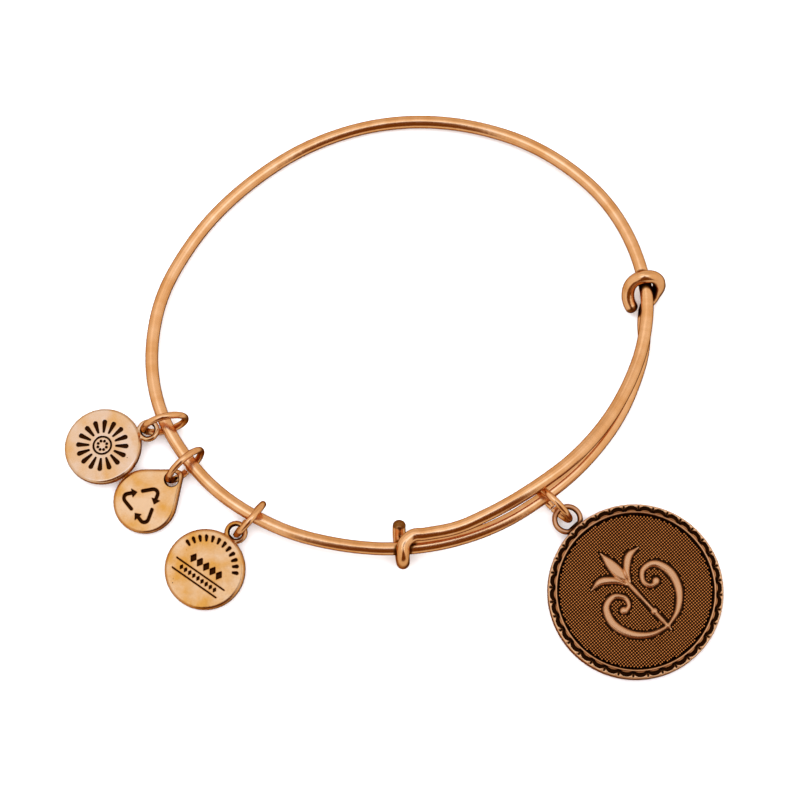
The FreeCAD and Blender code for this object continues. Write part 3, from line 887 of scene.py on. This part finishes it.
@dataclass
class SmallCharm:
    """A cast charm with an engraved face."""

    material: Material
    name: str
    node: str
    motif: Motif
    radius: float
    place: Matrix
    thick: float = 1.2
    edge: float = 0.36
    voxel: float = 0.065
    engraving: float = 0.22
    ear_radius: float = 1.1
    ear_wire: float = 0.3
    ear_swell: float = 1.12
    ear_tall: float = 1.15
    ear_reach: float = 5.88
    hole_radius: float = 0.86
    hole_reach: float = 4.25
    tip_reach: float = 4.9
    tip_radius: float = 0.85
    neck: tuple = (1.3, 0.5, 0.7)
    corner_steps: int = 6
    rim_steps: int = 144
    # how dark the painted shade is inside the hole and the ear
    hole_shade: float = 0.8
    ear_hole_shade: float = 0.85

    def build(self) -> Object:
        """Casts the blank, engraves it and lays it down."""
        blank = self._teardrop() if self.motif is Motif.ARROWS else self._disc()
        bm = cast(blank, self.voxel, 2)
        self._engrave(bm)
        bmesh.ops.transform(bm, matrix=self.place, verts=bm.verts)
        piece = finish_mesh(bm, self.name, self.material)
        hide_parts(self.node)
        return piece

    def _disc(self) -> BMesh:
        """The round blank with its ear, and a short neck between the two."""
        bm = bmesh.new()
        inner = self.radius - self.edge
        points = [(0.0, 0.0)]
        points += rounded(inner, self.edge, self.edge, -90, self.corner_steps)
        points += rounded(inner, self.thick - self.edge, self.edge, 0, self.corner_steps)
        points.append((0.0, self.thick))
        spun_profile(bm, points, self.rim_steps)
        middle = Vector((0, self.ear_reach, self.thick / 2))
        wire = self.ear_wire * self.ear_swell
        torus(bm, middle, self.ear_radius, wire, self.ear_tall, 20, 72)
        size = Matrix.Diagonal((*self.neck, 1.0))
        at = Matrix.Translation((0, self.radius - 0.02, self.thick / 2))
        bmesh.ops.create_cube(bm, size=1.0, matrix=at @ size)
        return bm

    def _teardrop(self) -> BMesh:
        """The teardrop blank with its hole."""
        bm = bmesh.new()
        lean = math.asin((self.radius - self.tip_radius) / self.tip_reach)
        arcs = (
            # start, sweep, radius, height of the middle, steps
            (lean, math.pi + 2 * lean, self.radius, 0.0, 72),
            (math.pi - lean, math.pi - 2 * lean, self.tip_radius, self.tip_reach, 16),
        )
        verts = []
        for start, sweep, radius, height, steps in arcs:
            for step in range(steps + 1):
                turn = start - sweep * step / steps
                place = (radius * math.cos(turn), height + radius * math.sin(turn), 0)
                verts.append(bm.verts.new(place))
        face = bm.faces.new(verts)
        top = verts_in(bmesh.ops.extrude_face_region(bm, geom=[face])["geom"])
        bmesh.ops.translate(bm, vec=(0, 0, self.thick), verts=top)
        bmesh.ops.recalc_face_normals(bm, faces=bm.faces)
        rims = [edge for edge in bm.edges if abs(edge.verts[0].co.z - edge.verts[1].co.z) < 1e-6]
        bmesh.ops.bevel(
            bm, geom=rims, offset=self.edge, segments=5, profile=0.5, affect="EDGES", material=-1
        )
        cutter = bmesh.new()
        at = Matrix.Translation((0, self.hole_reach, self.thick / 2))
        size = {"radius1": self.hole_radius, "radius2": self.hole_radius, "depth": self.thick * 3}
        bmesh.ops.create_cone(cutter, cap_ends=True, segments=40, matrix=at, **size)
        return modified([bm, cutter], "BOOLEAN", operation="DIFFERENCE", solver="EXACT")

    def _engrave(self, bm: BMesh) -> None:
        """Presses the motif into the face, marks where patina stays in it, and paints shade into the
        hole it hangs by.
        """
        places = places_of(bm)
        flat = places[:, :2]
        gaps = self._motif(flat)
        face = smooth_step(places[:, 2], self.thick - 0.12, self.thick - 0.04)
        sunk = smooth_step(-gaps, -0.02, 0.10)
        places[:, 2] -= face * sunk * self.engraving
        patina_and_shade = face * smooth_step(-gaps, -0.05, 0.05)
        move_to(bm, places)
        # engraving patina, and painted shade in the hole
        set_numbers(bm, "patina_and_shade", np.maximum(patina_and_shade, self._corners(places)))

    def _corners(self, places: np.ndarray) -> np.ndarray:
        """Painted shade where the ear meets the disc and inside the hole."""
        flat = places[:, :2]
        if self.motif is Motif.ARROWS:
            gap = distance_to(flat, 0, self.hole_reach) - self.hole_radius
            return self.hole_shade * (1 - smooth_step(gap, 0.0, 0.2))
        gap = distance_to(flat, 0, self.ear_reach) - (self.ear_radius - self.ear_wire)
        return self.ear_hole_shade * (1 - smooth_step(gap, 0.05, 0.3))

    def _motif(self, flat: np.ndarray) -> np.ndarray:
        """Distances to this charm's motif."""
        makers: dict[Motif, Callable[[np.ndarray], np.ndarray]] = {
            Motif.SUN: self._sun,
            Motif.ARROWS: self._arrows,
            Motif.ROWS: self._rows,
        }
        return makers[self.motif](flat)

    @staticmethod
    def _sun(flat: np.ndarray) -> np.ndarray:
        """A ring round eight beads, and sixteen rays."""
        ring_radius, ring_half = 1.11, 0.11
        reach = np.linalg.norm(flat, axis=1)
        angle = np.arctan2(flat[:, 0], flat[:, 1])
        parts = [np.abs(reach - ring_radius) - ring_half]
        strokes = (
            # how many, start, end, half width at the start and at the end
            (16, 1.75, 3.0, 0.13, 0.29),
            (8, 0.57, 0.59, 0.17, 0.17),
        )
        for count, start, end, half, half_end in strokes:
            pitch = math.tau / count
            turn = np.mod(angle + pitch / 2, pitch) - pitch / 2
            near = np.stack((reach * np.sin(turn), reach * np.cos(turn)), axis=1)
            parts.append(bar(near, (0, start), (0, end), half, half_end))
        return nearest(*parts)

    @staticmethod
    def _arrows(flat: np.ndarray) -> np.ndarray:
        """Three arrows that chase each other round a triangle."""
        half, head_half, corner_radius, corner_steps = 0.2, 0.56, 0.52, 6
        corner = np.array((0.0, 2.9))
        left, right = np.array((-0.5, -0.866)), np.array((0.5, -0.866))
        tail, neck, tip = corner + left * 2.2, corner + right * 1.47, corner + right * 2.15
        side = np.array((-right[1], right[0])) * head_half
        route = [tail]
        for step in range(corner_steps + 1):
            turn = math.radians(150 - 120 * step / corner_steps)
            way = np.array((math.cos(turn), math.sin(turn) - 2)) * corner_radius
            route.append(corner + way)
        route.append(neck)
        flat = flat + np.array((0.0, 0.4))
        parts = []
        for third in range(3):
            near = spun(flat, 1 + 120 * third)
            parts += [bar(near, start, end, half) for start, end in zip(route, route[1:])]
            parts.append(polygon(near, [neck - side, tip, neck + side]))
        return nearest(*parts)

    @staticmethod
    def _rows(flat: np.ndarray) -> np.ndarray:
        """Two rules, two rows of lozenges and an arc of dashes."""
        near = spun(flat, 5)
        rules = ((-3.6, 3.45, -0.75), (-3.35, 3.15, -2.05))
        parts = [bar(near, (start, height), (end, height), 0.085) for start, end, height in rules]
        rows = (
            # half width, half height, pitch, how many, height
            (0.42, 0.62, 0.95, 5, 0.35),
            (0.22, 0.34, 0.62, 9, -1.4),
        )
        for half, tall, pitch, count, height in rows:
            for number in range(count):
                x = (number - (count - 1) / 2) * pitch
                left, right = (x - half, height), (x + half, height)
                lozenge = [left, (x, height - tall), right, (x, height + tall)]
                parts.append(polygon(near, lozenge))
        dashes, first_turn, turn_between = 12, 162, 11.8
        for number in range(dashes):
            turn = math.radians(first_turn - number * turn_between)
            way = np.array((math.cos(turn), math.sin(turn)))
            parts.append(bar(flat, way * 3.5, way * 4.0, 0.12, 0.2))
        return nearest(*parts)


# The medallion


@dataclass
class Medallion:
    """The big cast disc: scooped rim, groove, dotted field and raised scrolls."""

    material: Material
    dotted: Material
    place: Matrix
    radius: float = 10.7
    thick: float = 2.0
    bevel: float = 0.35
    rim: float = 1.12
    groove: float = 0.26
    groove_depth: float = 0.6
    field_depth: float = 0.4
    relief: float = 0.34
    scoops: int = 36
    scoop_steps: int = 16
    scoop_depth: float = 0.34
    ear_radius: float = 1.56
    ear_wire: float = 0.31
    ear_swell: float = 1.1
    ear_tall: float = 1.25
    ear_reach: float = 12.1
    ear_foot: tuple = (2.0, 0.7, 0.62)
    edge_steps: int = 6
    rim_steps: int = 26
    crescent_foot: float = 0.93
    crescent_outer: tuple = (0.87, 0.78)
    crescent_inner: tuple = (0.62, 0.20)
    crescent_reach: float = 9.9
    notch: float = 0.85
    bead: float = 0.3
    bead_drop: float = 0.09
    field_patina: float = 0.76
    dot_pitch: float = 0.295
    dot_turn: float = -2.0
    dot_margin: float = 0.14
    dot_shape: tuple = (0.13, 0.09, 0.11)
    grid: float = 0.08
    grid_half: float = 7.0
    # strokes and balls of the ornament: x, y, half width or radius
    scroll: tuple = (
        (0.10, -5.75, 0.22), (2.30, -5.05, 0.40), (4.05, -3.35, 0.52),
        (4.75, -1.05, 0.55), (4.05, 0.95, 0.48), (2.50, 1.35, 0.40),
        (1.55, 0.35, 0.36), (1.75, -0.65, 0.34), (2.60, -0.95, 0.34),
    )
    leaf: tuple = (
        (0.30, 1.30, 0.14), (1.05, 2.70, 0.44), (2.40, 3.75, 0.50), (4.00, 3.70, 0.10),
    )
    stem: tuple = (
        (0.0, -6.4, 0.1), (0.0, -4.6, 0.32), (0.0, -2.0, 0.24), (0.0, 0.5, 0.34), (0.0, 1.9, 0.22),
    )
    bud: tuple = (
        (0.0, 1.6, 0.16), (0.0, 3.2, 0.74), (0.0, 4.7, 0.6), (0.0, 6.3, 0.1),
    )
    balls: tuple = (
        (2.72, -0.72, 0.52), (-2.72, -0.72, 0.52), (0.0, -3.3, 0.5), (0.0, -5.7, 0.42),
    )

    def build(self) -> list[Object]:
        """Makes the disc with its ear, the dots and the ornament."""
        pieces = [self._disc(), self._dots(), self._ornament()]
        for piece in pieces:
            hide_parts("medallion")
        return pieces

    @property
    def band_end(self) -> float:
        """Where the scooped rim ends and the groove starts."""
        return self.radius - self.rim

    @property
    def field_edge(self) -> float:
        """Where the groove ends and the field starts."""
        return self.band_end - self.groove

    @property
    def field_z(self) -> float:
        """The height of the sunk field."""
        return self.thick - self.field_depth

    def _disc(self) -> Object:
        """The spun disc, with its rim pressed into scoops and fins, and its ear."""
        bm = bmesh.new()
        spun_profile(bm, self._profile(), self.scoops * self.scoop_steps)
        places = places_of(bm)
        reach = np.linalg.norm(places[:, :2], axis=1)
        cut = self._rim_recess(places)
        top = smooth_step(places[:, 2], self.thick - self.bevel, self.thick - 0.1)
        band = smooth_step(reach, self.band_end - 0.01, self.band_end)
        places[:, 2] -= self.scoop_depth * cut * top * band
        across = np.clip((reach - self.band_end) / self.bead, 0, 1)
        drop = self.bead_drop * (2 * across - 1) ** 2 * (across < 1)
        on_band = (reach >= self.band_end - 0.001) & (places[:, 2] > 1.6)
        places[:, 2] -= np.where(on_band, drop, 0.0)
        move_to(bm, places)
        inside = reach < self.band_end - 0.01
        upper = places[:, 2] > 1.0
        sunk = np.where(reach < self.field_edge - 0.1, self.field_patina, 1.0)
        foot = 0.8 * (1 - smooth_step(reach, self.band_end, self.band_end + 0.06))
        patina_and_shade = np.maximum(np.where(inside, sunk, foot), smooth_step(cut, 0.15, 0.5))
        set_numbers(bm, "patina_and_shade", np.where(upper, patina_and_shade, 0.0))
        # painted highlight lines, with rubbed wear, round the outer edge and beside the bead
        outer_line = 1 - smooth_step(np.abs(reach - self.radius + 0.2), 0.08, 0.22)
        inner_line = 0.4 * (1 - smooth_step(np.abs(reach - self.band_end - 0.1), 0.03, 0.08))
        wear_and_highlight = np.where(upper & ~inside, np.maximum(outer_line, inner_line), 0.0)
        set_numbers(bm, "wear_and_highlight", wear_and_highlight)
        self._add_ear(bm)
        bmesh.ops.transform(bm, matrix=self.place, verts=bm.verts)
        return finish_mesh(bm, "medallion_disc", self.material)

    def _profile(self) -> list[tuple]:
        """The disc's half section, from the middle of its back to the middle of its field."""
        inner = self.radius - self.bevel
        groove_z = self.thick - self.groove_depth
        points = [(0.0, 0.0), (inner, 0.0)]
        points += rounded(inner, self.bevel, self.bevel, -90, 5)[1:]
        points += rounded(inner, self.thick - self.bevel, self.bevel, 0, self.edge_steps)
        for step in range(1, self.rim_steps + 1):
            inset = (self.rim - self.bevel) * step / self.rim_steps
            points.append((inner - inset, self.thick))
        points += [(self.band_end - 0.04, groove_z), (self.field_edge + 0.04, groove_z)]
        reaches = (self.field_edge, self.field_edge - 0.5, 4.0, 0.0)
        return points + [(reach, self.field_z) for reach in reaches]

    def _add_ear(self, bm: BMesh) -> None:
        """Joins the cast ear to the disc, with patina inside it and at its foot."""
        ear = bmesh.new()
        middle = Vector((0, self.ear_reach, self.thick / 2))
        torus(ear, middle, self.ear_radius, self.ear_wire * self.ear_swell, self.ear_tall, 24, 96)
        size = Matrix.Diagonal((*self.ear_foot, 1.0))
        at = Matrix.Translation((0, self.radius + 0.08, self.thick / 2))
        bmesh.ops.create_cube(ear, size=1.0, matrix=at @ size)
        ear = cast(ear, 0.07, 1)
        around = places_of(ear)
        gap = distance_to(around[:, :2], 0, self.ear_reach)
        hole = 0.75 * (1 - smooth_step(gap, self.ear_radius - 0.28, self.ear_radius - 0.1))
        foot = 0.7 * (1 - smooth_step(around[:, 1], self.radius + 0.05, self.radius + 0.35))
        patina_and_shade = np.maximum(hole, foot)
        set_numbers(ear, "patina_and_shade", patina_and_shade)
        set_numbers(ear, "wear_and_highlight", 0.5 * smooth_step(around[:, 2], 1.3, 1.45) * (patina_and_shade < 0.05))
        loose = bpy.data.meshes.new("ear")
        ear.to_mesh(loose)
        ear.free()
        bm.from_mesh(loose)
        bpy.data.meshes.remove(loose)

    def _rim_recess(self, places: np.ndarray) -> np.ndarray:
        """How deep the rim is pressed, 0 to 1: a crescent and a notch in every sector."""
        reach = np.linalg.norm(places[:, :2], axis=1)
        pitch = math.tau / self.scoops
        turn = np.mod(np.arctan2(places[:, 0], places[:, 1]) + pitch / 2, pitch) - pitch / 2
        side = turn * self.crescent_reach
        inset = self.radius - reach
        foot = self.crescent_foot
        outer, inner = (
            np.hypot(side / half, (foot - inset) / tall)
            for half, tall in (self.crescent_outer, self.crescent_inner)
        )
        crescent = smooth_step(1 - outer, 0.0, 0.10) * smooth_step(inner - 1, 0.0, 0.16)
        crescent = crescent * (1 - smooth_step(inset, foot - 0.08, foot + 0.02))
        edge = np.abs(np.abs(side) - 0.5 * pitch * self.crescent_reach)
        length = smooth_step(inset, 0.05, 0.2) * (1 - smooth_step(inset, 0.80, 0.95))
        notch = (1 - smooth_step(edge, 0.05, 0.15)) * length
        return np.maximum(crescent, notch * self.notch)

    def _ornament_gap(self, flat: np.ndarray) -> np.ndarray:
        """Distances to the raised ornament."""
        parts = []
        for mirror in (1, -1):
            sided = flat * np.array((mirror, 1.0))
            for stations in (self.scroll, self.leaf):
                parts.append(self._stroke(sided, stations))
        for stations in (self.stem, self.bud):
            parts.append(self._stroke(flat, stations))
        for x, y, radius in self.balls:
            parts.append(distance_to(flat, x, y) - radius)
        return nearest(*parts)

    @staticmethod
    def _stroke(flat: np.ndarray, stations: Sequence[tuple]) -> np.ndarray:
        """Distance to a smooth stroke of changing width through the stations."""
        rows = np.array(stations, float)
        extended = np.vstack((2 * rows[0] - rows[1], rows, 2 * rows[-1] - rows[-2]))
        line = []
        for before, here, after, later in zip(extended, extended[1:], extended[2:], extended[3:]):
            for share in np.arange(0, 1, 0.1):
                line.append(0.5 * (2 * here + (after - before) * share
                                   + (2 * before - 5 * here + 4 * after - later) * share ** 2
                                   + (3 * here - before - 3 * after + later) * share ** 3))
        line.append(rows[-1])
        parts = []
        for here, after in zip(line, line[1:]):
            halves = (max(here[2], 0.05), max(after[2], 0.05))
            parts.append(bar(flat, tuple(here[:2]), tuple(after[:2]), *halves))
        return nearest(*parts)

    def _ornament(self) -> Object:
        """The raised strokes: flat polished tops with rounded shoulders."""
        bm = bmesh.new()
        cells = round(2 * self.grid_half / self.grid)
        bmesh.ops.create_grid(bm, x_segments=cells, y_segments=cells, size=self.grid_half)
        places = places_of(bm)
        gaps = self._ornament_gap(places[:, :2])
        rise = smooth_step(-gaps, -0.02, 0.30)
        places[:, 2] = self.field_z + (self.relief + 0.06) * np.sqrt(rise) - 0.06
        move_to(bm, places)
        # painted shade, with patina, round the foot of the strokes
        set_numbers(bm, "patina_and_shade", 0.95 * (1 - smooth_step(-gaps, -0.02, 0.06)))
        # a painted highlight, with rubbed wear, along the shoulders of the strokes
        edge_line = smooth_step(-gaps, 0.03, 0.09) * (1 - smooth_step(-gaps, 0.12, 0.24))
        set_numbers(bm, "wear_and_highlight", 0.25 + 0.65 * edge_line)
        far = [vert for vert, gap in zip(bm.verts, gaps) if gap > 0.09]
        bmesh.ops.delete(bm, geom=far, context="VERTS")
        rim = [edge for edge in bm.edges if edge.is_boundary]
        for vert in verts_in(bmesh.ops.extrude_edge_only(bm, edges=rim)["geom"]):
            vert.co.z = self.field_z - 0.2
        bottom = [edge for edge in bm.edges if edge.is_boundary]
        bmesh.ops.triangle_fill(bm, edges=bottom, use_beauty=False, use_dissolve=False)
        bmesh.ops.recalc_face_normals(bm, faces=bm.faces)
        bmesh.ops.transform(bm, matrix=self.place, verts=bm.verts)
        return finish_mesh(bm, "medallion_ornament", self.material)

    def _dots(self) -> Object:
        """The field's fine dots, in rows along and across the ear's axis."""
        bm = bmesh.new()
        limit = self.field_edge - 0.04
        count = int(limit / self.dot_pitch) + 1
        foot, head, tall = self.dot_shape
        bmesh.ops.create_cone(bm, cap_ends=True, segments=6, radius1=foot, radius2=head, depth=tall)
        low = np.array([vert.co.z < 0 for vert in bm.verts])
        bmesh.ops.translate(bm, vec=(0, 0, self.field_z + 0.035), verts=bm.verts)
        set_numbers(bm, "patina_and_shade", np.where(low, 0.75, 0.0))
        set_numbers(bm, "wear_and_highlight", np.where(low, 0.0, 0.08))
        for axis in (Vector((self.dot_pitch, 0, 0)), Vector((0, self.dot_pitch, 0))):
            row = list(bm.verts) + list(bm.edges) + list(bm.faces)
            for number in range(-count, count + 1):
                if number:
                    copies = verts_in(bmesh.ops.duplicate(bm, geom=row)["geom"])
                    bmesh.ops.translate(bm, vec=axis * number, verts=copies)
        middles = np.round(places_of(bm)[:, :2] / self.dot_pitch) * self.dot_pitch
        gaps = self._ornament_gap(spun(middles, -self.dot_turn))
        left_out = (distance_to(middles, 0, 0) > limit) | (gaps < self.dot_margin)
        unwanted = [vert for vert, out in zip(bm.verts, left_out) if out]
        bmesh.ops.delete(bm, geom=unwanted, context="VERTS")
        turn = Matrix.Rotation(math.radians(self.dot_turn), 4, "Z")
        bmesh.ops.transform(bm, matrix=self.place @ turn, verts=bm.verts)
        piece = finish_mesh(bm, "medallion_dots", self.dotted)
        piece.data.shade_flat()
        return piece


# The studio


@dataclass
class Studio:
    """Floor, light and camera."""

    eye: tuple = (-0.617, -101.764, 440.166)
    aim: tuple = (-0.617, -8.204, 0.0)
    lens: float = 164.0
    lights: tuple = (
        # name, place and side in metres, watts, colour
        ("overhead", (0.0, 0.0, 0.8), 1.2, 11.0, (1.0, 1.0, 1.0)),
        ("key", (-0.35, 0.25, 0.35), 0.25, 0.7, (1.0, 0.99, 0.97)),
    )
    wall: tuple = (0.98, 0.92, 0.85)
    back_wall: tuple = (0.76, 0.66, 0.56)
    low_wall: tuple = (0.86, 0.78, 0.68)
    far_glow: tuple = (1.15, 1.15, 1.2)
    ceiling_glow: tuple = (1.58, 1.98, 2.80)
    viewer_side: tuple = (0.18, 0.060, 0.0)
    below_left: tuple = (0.48, 0.30, 0.15)
    below_right: tuple = (0.09, 0.032, 0.006)

    def build(self) -> None:
        """Makes the whole setting."""
        self._floor()
        self._world()
        for light in self.lights:
            self._light(*light)
        self._camera()
        view = bpy.context.scene.view_settings
        view.view_transform = "Standard"
        view.look = "None"
        view.exposure = 0.0

    def _floor(self) -> None:
        """The plain pale floor, a hair below the lowest metal."""
        bm = bmesh.new()
        bmesh.ops.create_grid(bm, x_segments=2, y_segments=2, size=2.0)
        mesh = bpy.data.meshes.new("floor")
        bmesh.ops.translate(bm, vec=(0, 0, -0.00001), verts=bm.verts)
        bm.to_mesh(mesh)
        bm.free()
        mesh.materials.append(PaleFloor().make())
        floor = shown("floor", mesh)
        floor.visible_glossy = False

    @staticmethod
    def _light(name: str, place: tuple, size: float, power: float, colour: tuple) -> None:
        """A square soft light that points at the bangle.

        Args:
            name: its name.
            place: where it stands, in metres.
            size: its side, in metres.
            power: its power in watts.
            colour: its colour.
        """
        lamp = bpy.data.lights.new(name, "AREA")
        lamp.energy = power
        lamp.size = size
        lamp.color = colour
        holder = shown(name, lamp)
        holder.location = place
        holder.rotation_euler = (-Vector(place)).to_track_quat("-Z", "Y").to_euler()
        holder.visible_glossy = False

    @staticmethod
    def _oval(x: Value, y: Value, middle: tuple, half: tuple) -> Value:
        """The squared distance from the middle of an oval, 1 on its edge.

        Args:
            x: the place along X.
            y: the place along Y.
            middle: the oval's middle.
            half: its half width and half height.

        Returns:
            The squared distance, as a value.
        """
        across = (x - middle[0]) * (1 / half[0])
        along = (y - middle[1]) * (1 / half[1])
        return across * across + along * along

    def _world(self) -> None:
        """A bright soft room, brightest overhead, brown towards the viewer and below."""
        room = Shading("room", room=True)
        bpy.context.scene.world = room.material
        toward = room.node("ShaderNodeTexCoord").outputs["Generated"]
        split = room.node("ShaderNodeSeparateXYZ", None, {0: toward})
        x, y, z = (Value(room, socket) for socket in split.outputs)
        # a dark wedge towards the viewer: the way from its middle line, and its half width
        apart = x + y * 0.24 + 0.05
        spread = 0.055 - y * 0.59
        dim = (spread * spread - apart * apart).rise(-0.012, 0.02)
        dim = dim * (0.12 - y).rise(0.0, 0.16) * z.rise(-0.05, 0.12)
        # the bright ceiling, and the pale corner far off on the left
        glow = 1.0 - self._oval(x, y, (-0.03, -0.08), (0.60, 0.32)).rise(0.0, 1.3)
        far = self._oval(x, y, (-0.30, 0.45), (0.35, 0.30)).rise(0.3, 1.2)
        walls = room.mixed(y.rise(0.3, 0.8), self.wall, self.back_wall)
        walls = room.mixed(z.rise(0.0, 0.5), self.low_wall, walls)
        walls = room.mixed(far, self.far_glow, walls)
        lit = room.mixed(glow, walls, self.ceiling_glow)
        colour = room.mixed(dim, lit, self.viewer_side)
        below = room.mixed((x - y * 0.3).rise(-0.2, 0.7), self.below_left, self.below_right)
        colour = room.mixed(z.rise(-0.80, -0.40), below, colour)
        room.finish(room.node("ShaderNodeBackground", None, {"Color": colour, "Strength": 1.0}))

    def _camera(self) -> None:
        """The camera at the photograph's angle."""
        data = bpy.data.cameras.new("camera")
        data.lens = self.lens
        data.sensor_width = 36.0
        data.clip_start = 0.01
        data.clip_end = 10.0
        camera = shown("camera", data)
        eye = Vector(self.eye) * MM
        camera.location = eye
        camera.rotation_euler = (Vector(self.aim) * MM - eye).to_track_quat("-Z", "Y").to_euler()
        bpy.context.scene.camera = camera


@dataclass
class CharmBangle:
    """The whole piece of jewellery."""

    rings: tuple = (
        # name, node, radius, x, y, toward, roll
        ("ring_at_medallion", "medallion_ring", 2.7, 18.08, -21.78, 315.0, 0.0),
        ("ring_at_sun", "rosette_ring", 2.6, -29.42, -11.80, 195.0, 7.0),
        ("ring_at_arrows", "arrows_ring", 2.6, -26.88, -16.99, 222.0, 5.5),
        ("ring_at_rows", "banner_ring", 2.45, -18.92, -23.68, 230.0, -10.3),
    )
    # x, y, ear, raised side and tilt of each charm, and a small charm's radius
    sun_lies: tuple = (-36.95, -14.43, 18.5, -38.0, 10.5, 4.78)
    arrows_lie: tuple = (-31.70, -21.10, 38.0, 38.0, 9.5, 3.95)
    rows_lie: tuple = (-24.34, -29.52, 49.9, 49.9, 6.5, 4.95)
    medallion_lies: tuple = (28.0, -32.36, 132.6, 132.6, 2.0)

    def build(self) -> None:
        """Makes every sub-assembly in order and reports it."""
        wire_metal = RoseSatin().along_wire()
        pink = RoseSatin(pale=(0.74, 0.525, 0.37), deep=(0.70, 0.385, 0.15)).on_charm()
        amber = RoseSatin(pale=(0.615, 0.335, 0.150), deep=(0.550, 0.220, 0.036)).on_charm()
        dotted = AntiqueCopper(
            rubbed=(0.54, 0.150, 0.018), brown=(0.38, 0.088, 0.004), edge=(0.20, 0.07, 0.015)
        ).make()
        antique = AntiqueCopper().make()
        self._report(BangleWire(wire_metal).build())
        for ring in self.rings:
            self._report(JumpRing(wire_metal, *ring).build())
        charms = (
            (pink, "charm_sun", "rosette_charm", Motif.SUN, self.sun_lies),
            (amber, "charm_arrows", "arrows_charm", Motif.ARROWS, self.arrows_lie),
            (amber, "charm_rows", "banner_charm", Motif.ROWS, self.rows_lie),
        )
        for metal, name, node, motif, lies in charms:
            place = laid_down(*lies, SmallCharm.edge)
            self._report(SmallCharm(metal, name, node, motif, lies[-1], place).build())
        place = laid_down(*self.medallion_lies, Medallion.radius, Medallion.bevel)
        for piece in Medallion(antique, dotted, place).build():
            self._report(piece)

    @staticmethod
    def _report(piece: Object) -> None:
        """Logs a finished piece."""
        LOG.info("%s: %d faces", piece.name, len(piece.data.polygons))


def main() -> None:
    """Builds the bangle and its setting."""
    logging.basicConfig(level=logging.INFO, format="%(name)s %(message)s")
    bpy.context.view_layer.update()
    CharmBangle().build()
    Studio().build()


if __name__ == "__main__":
    main()
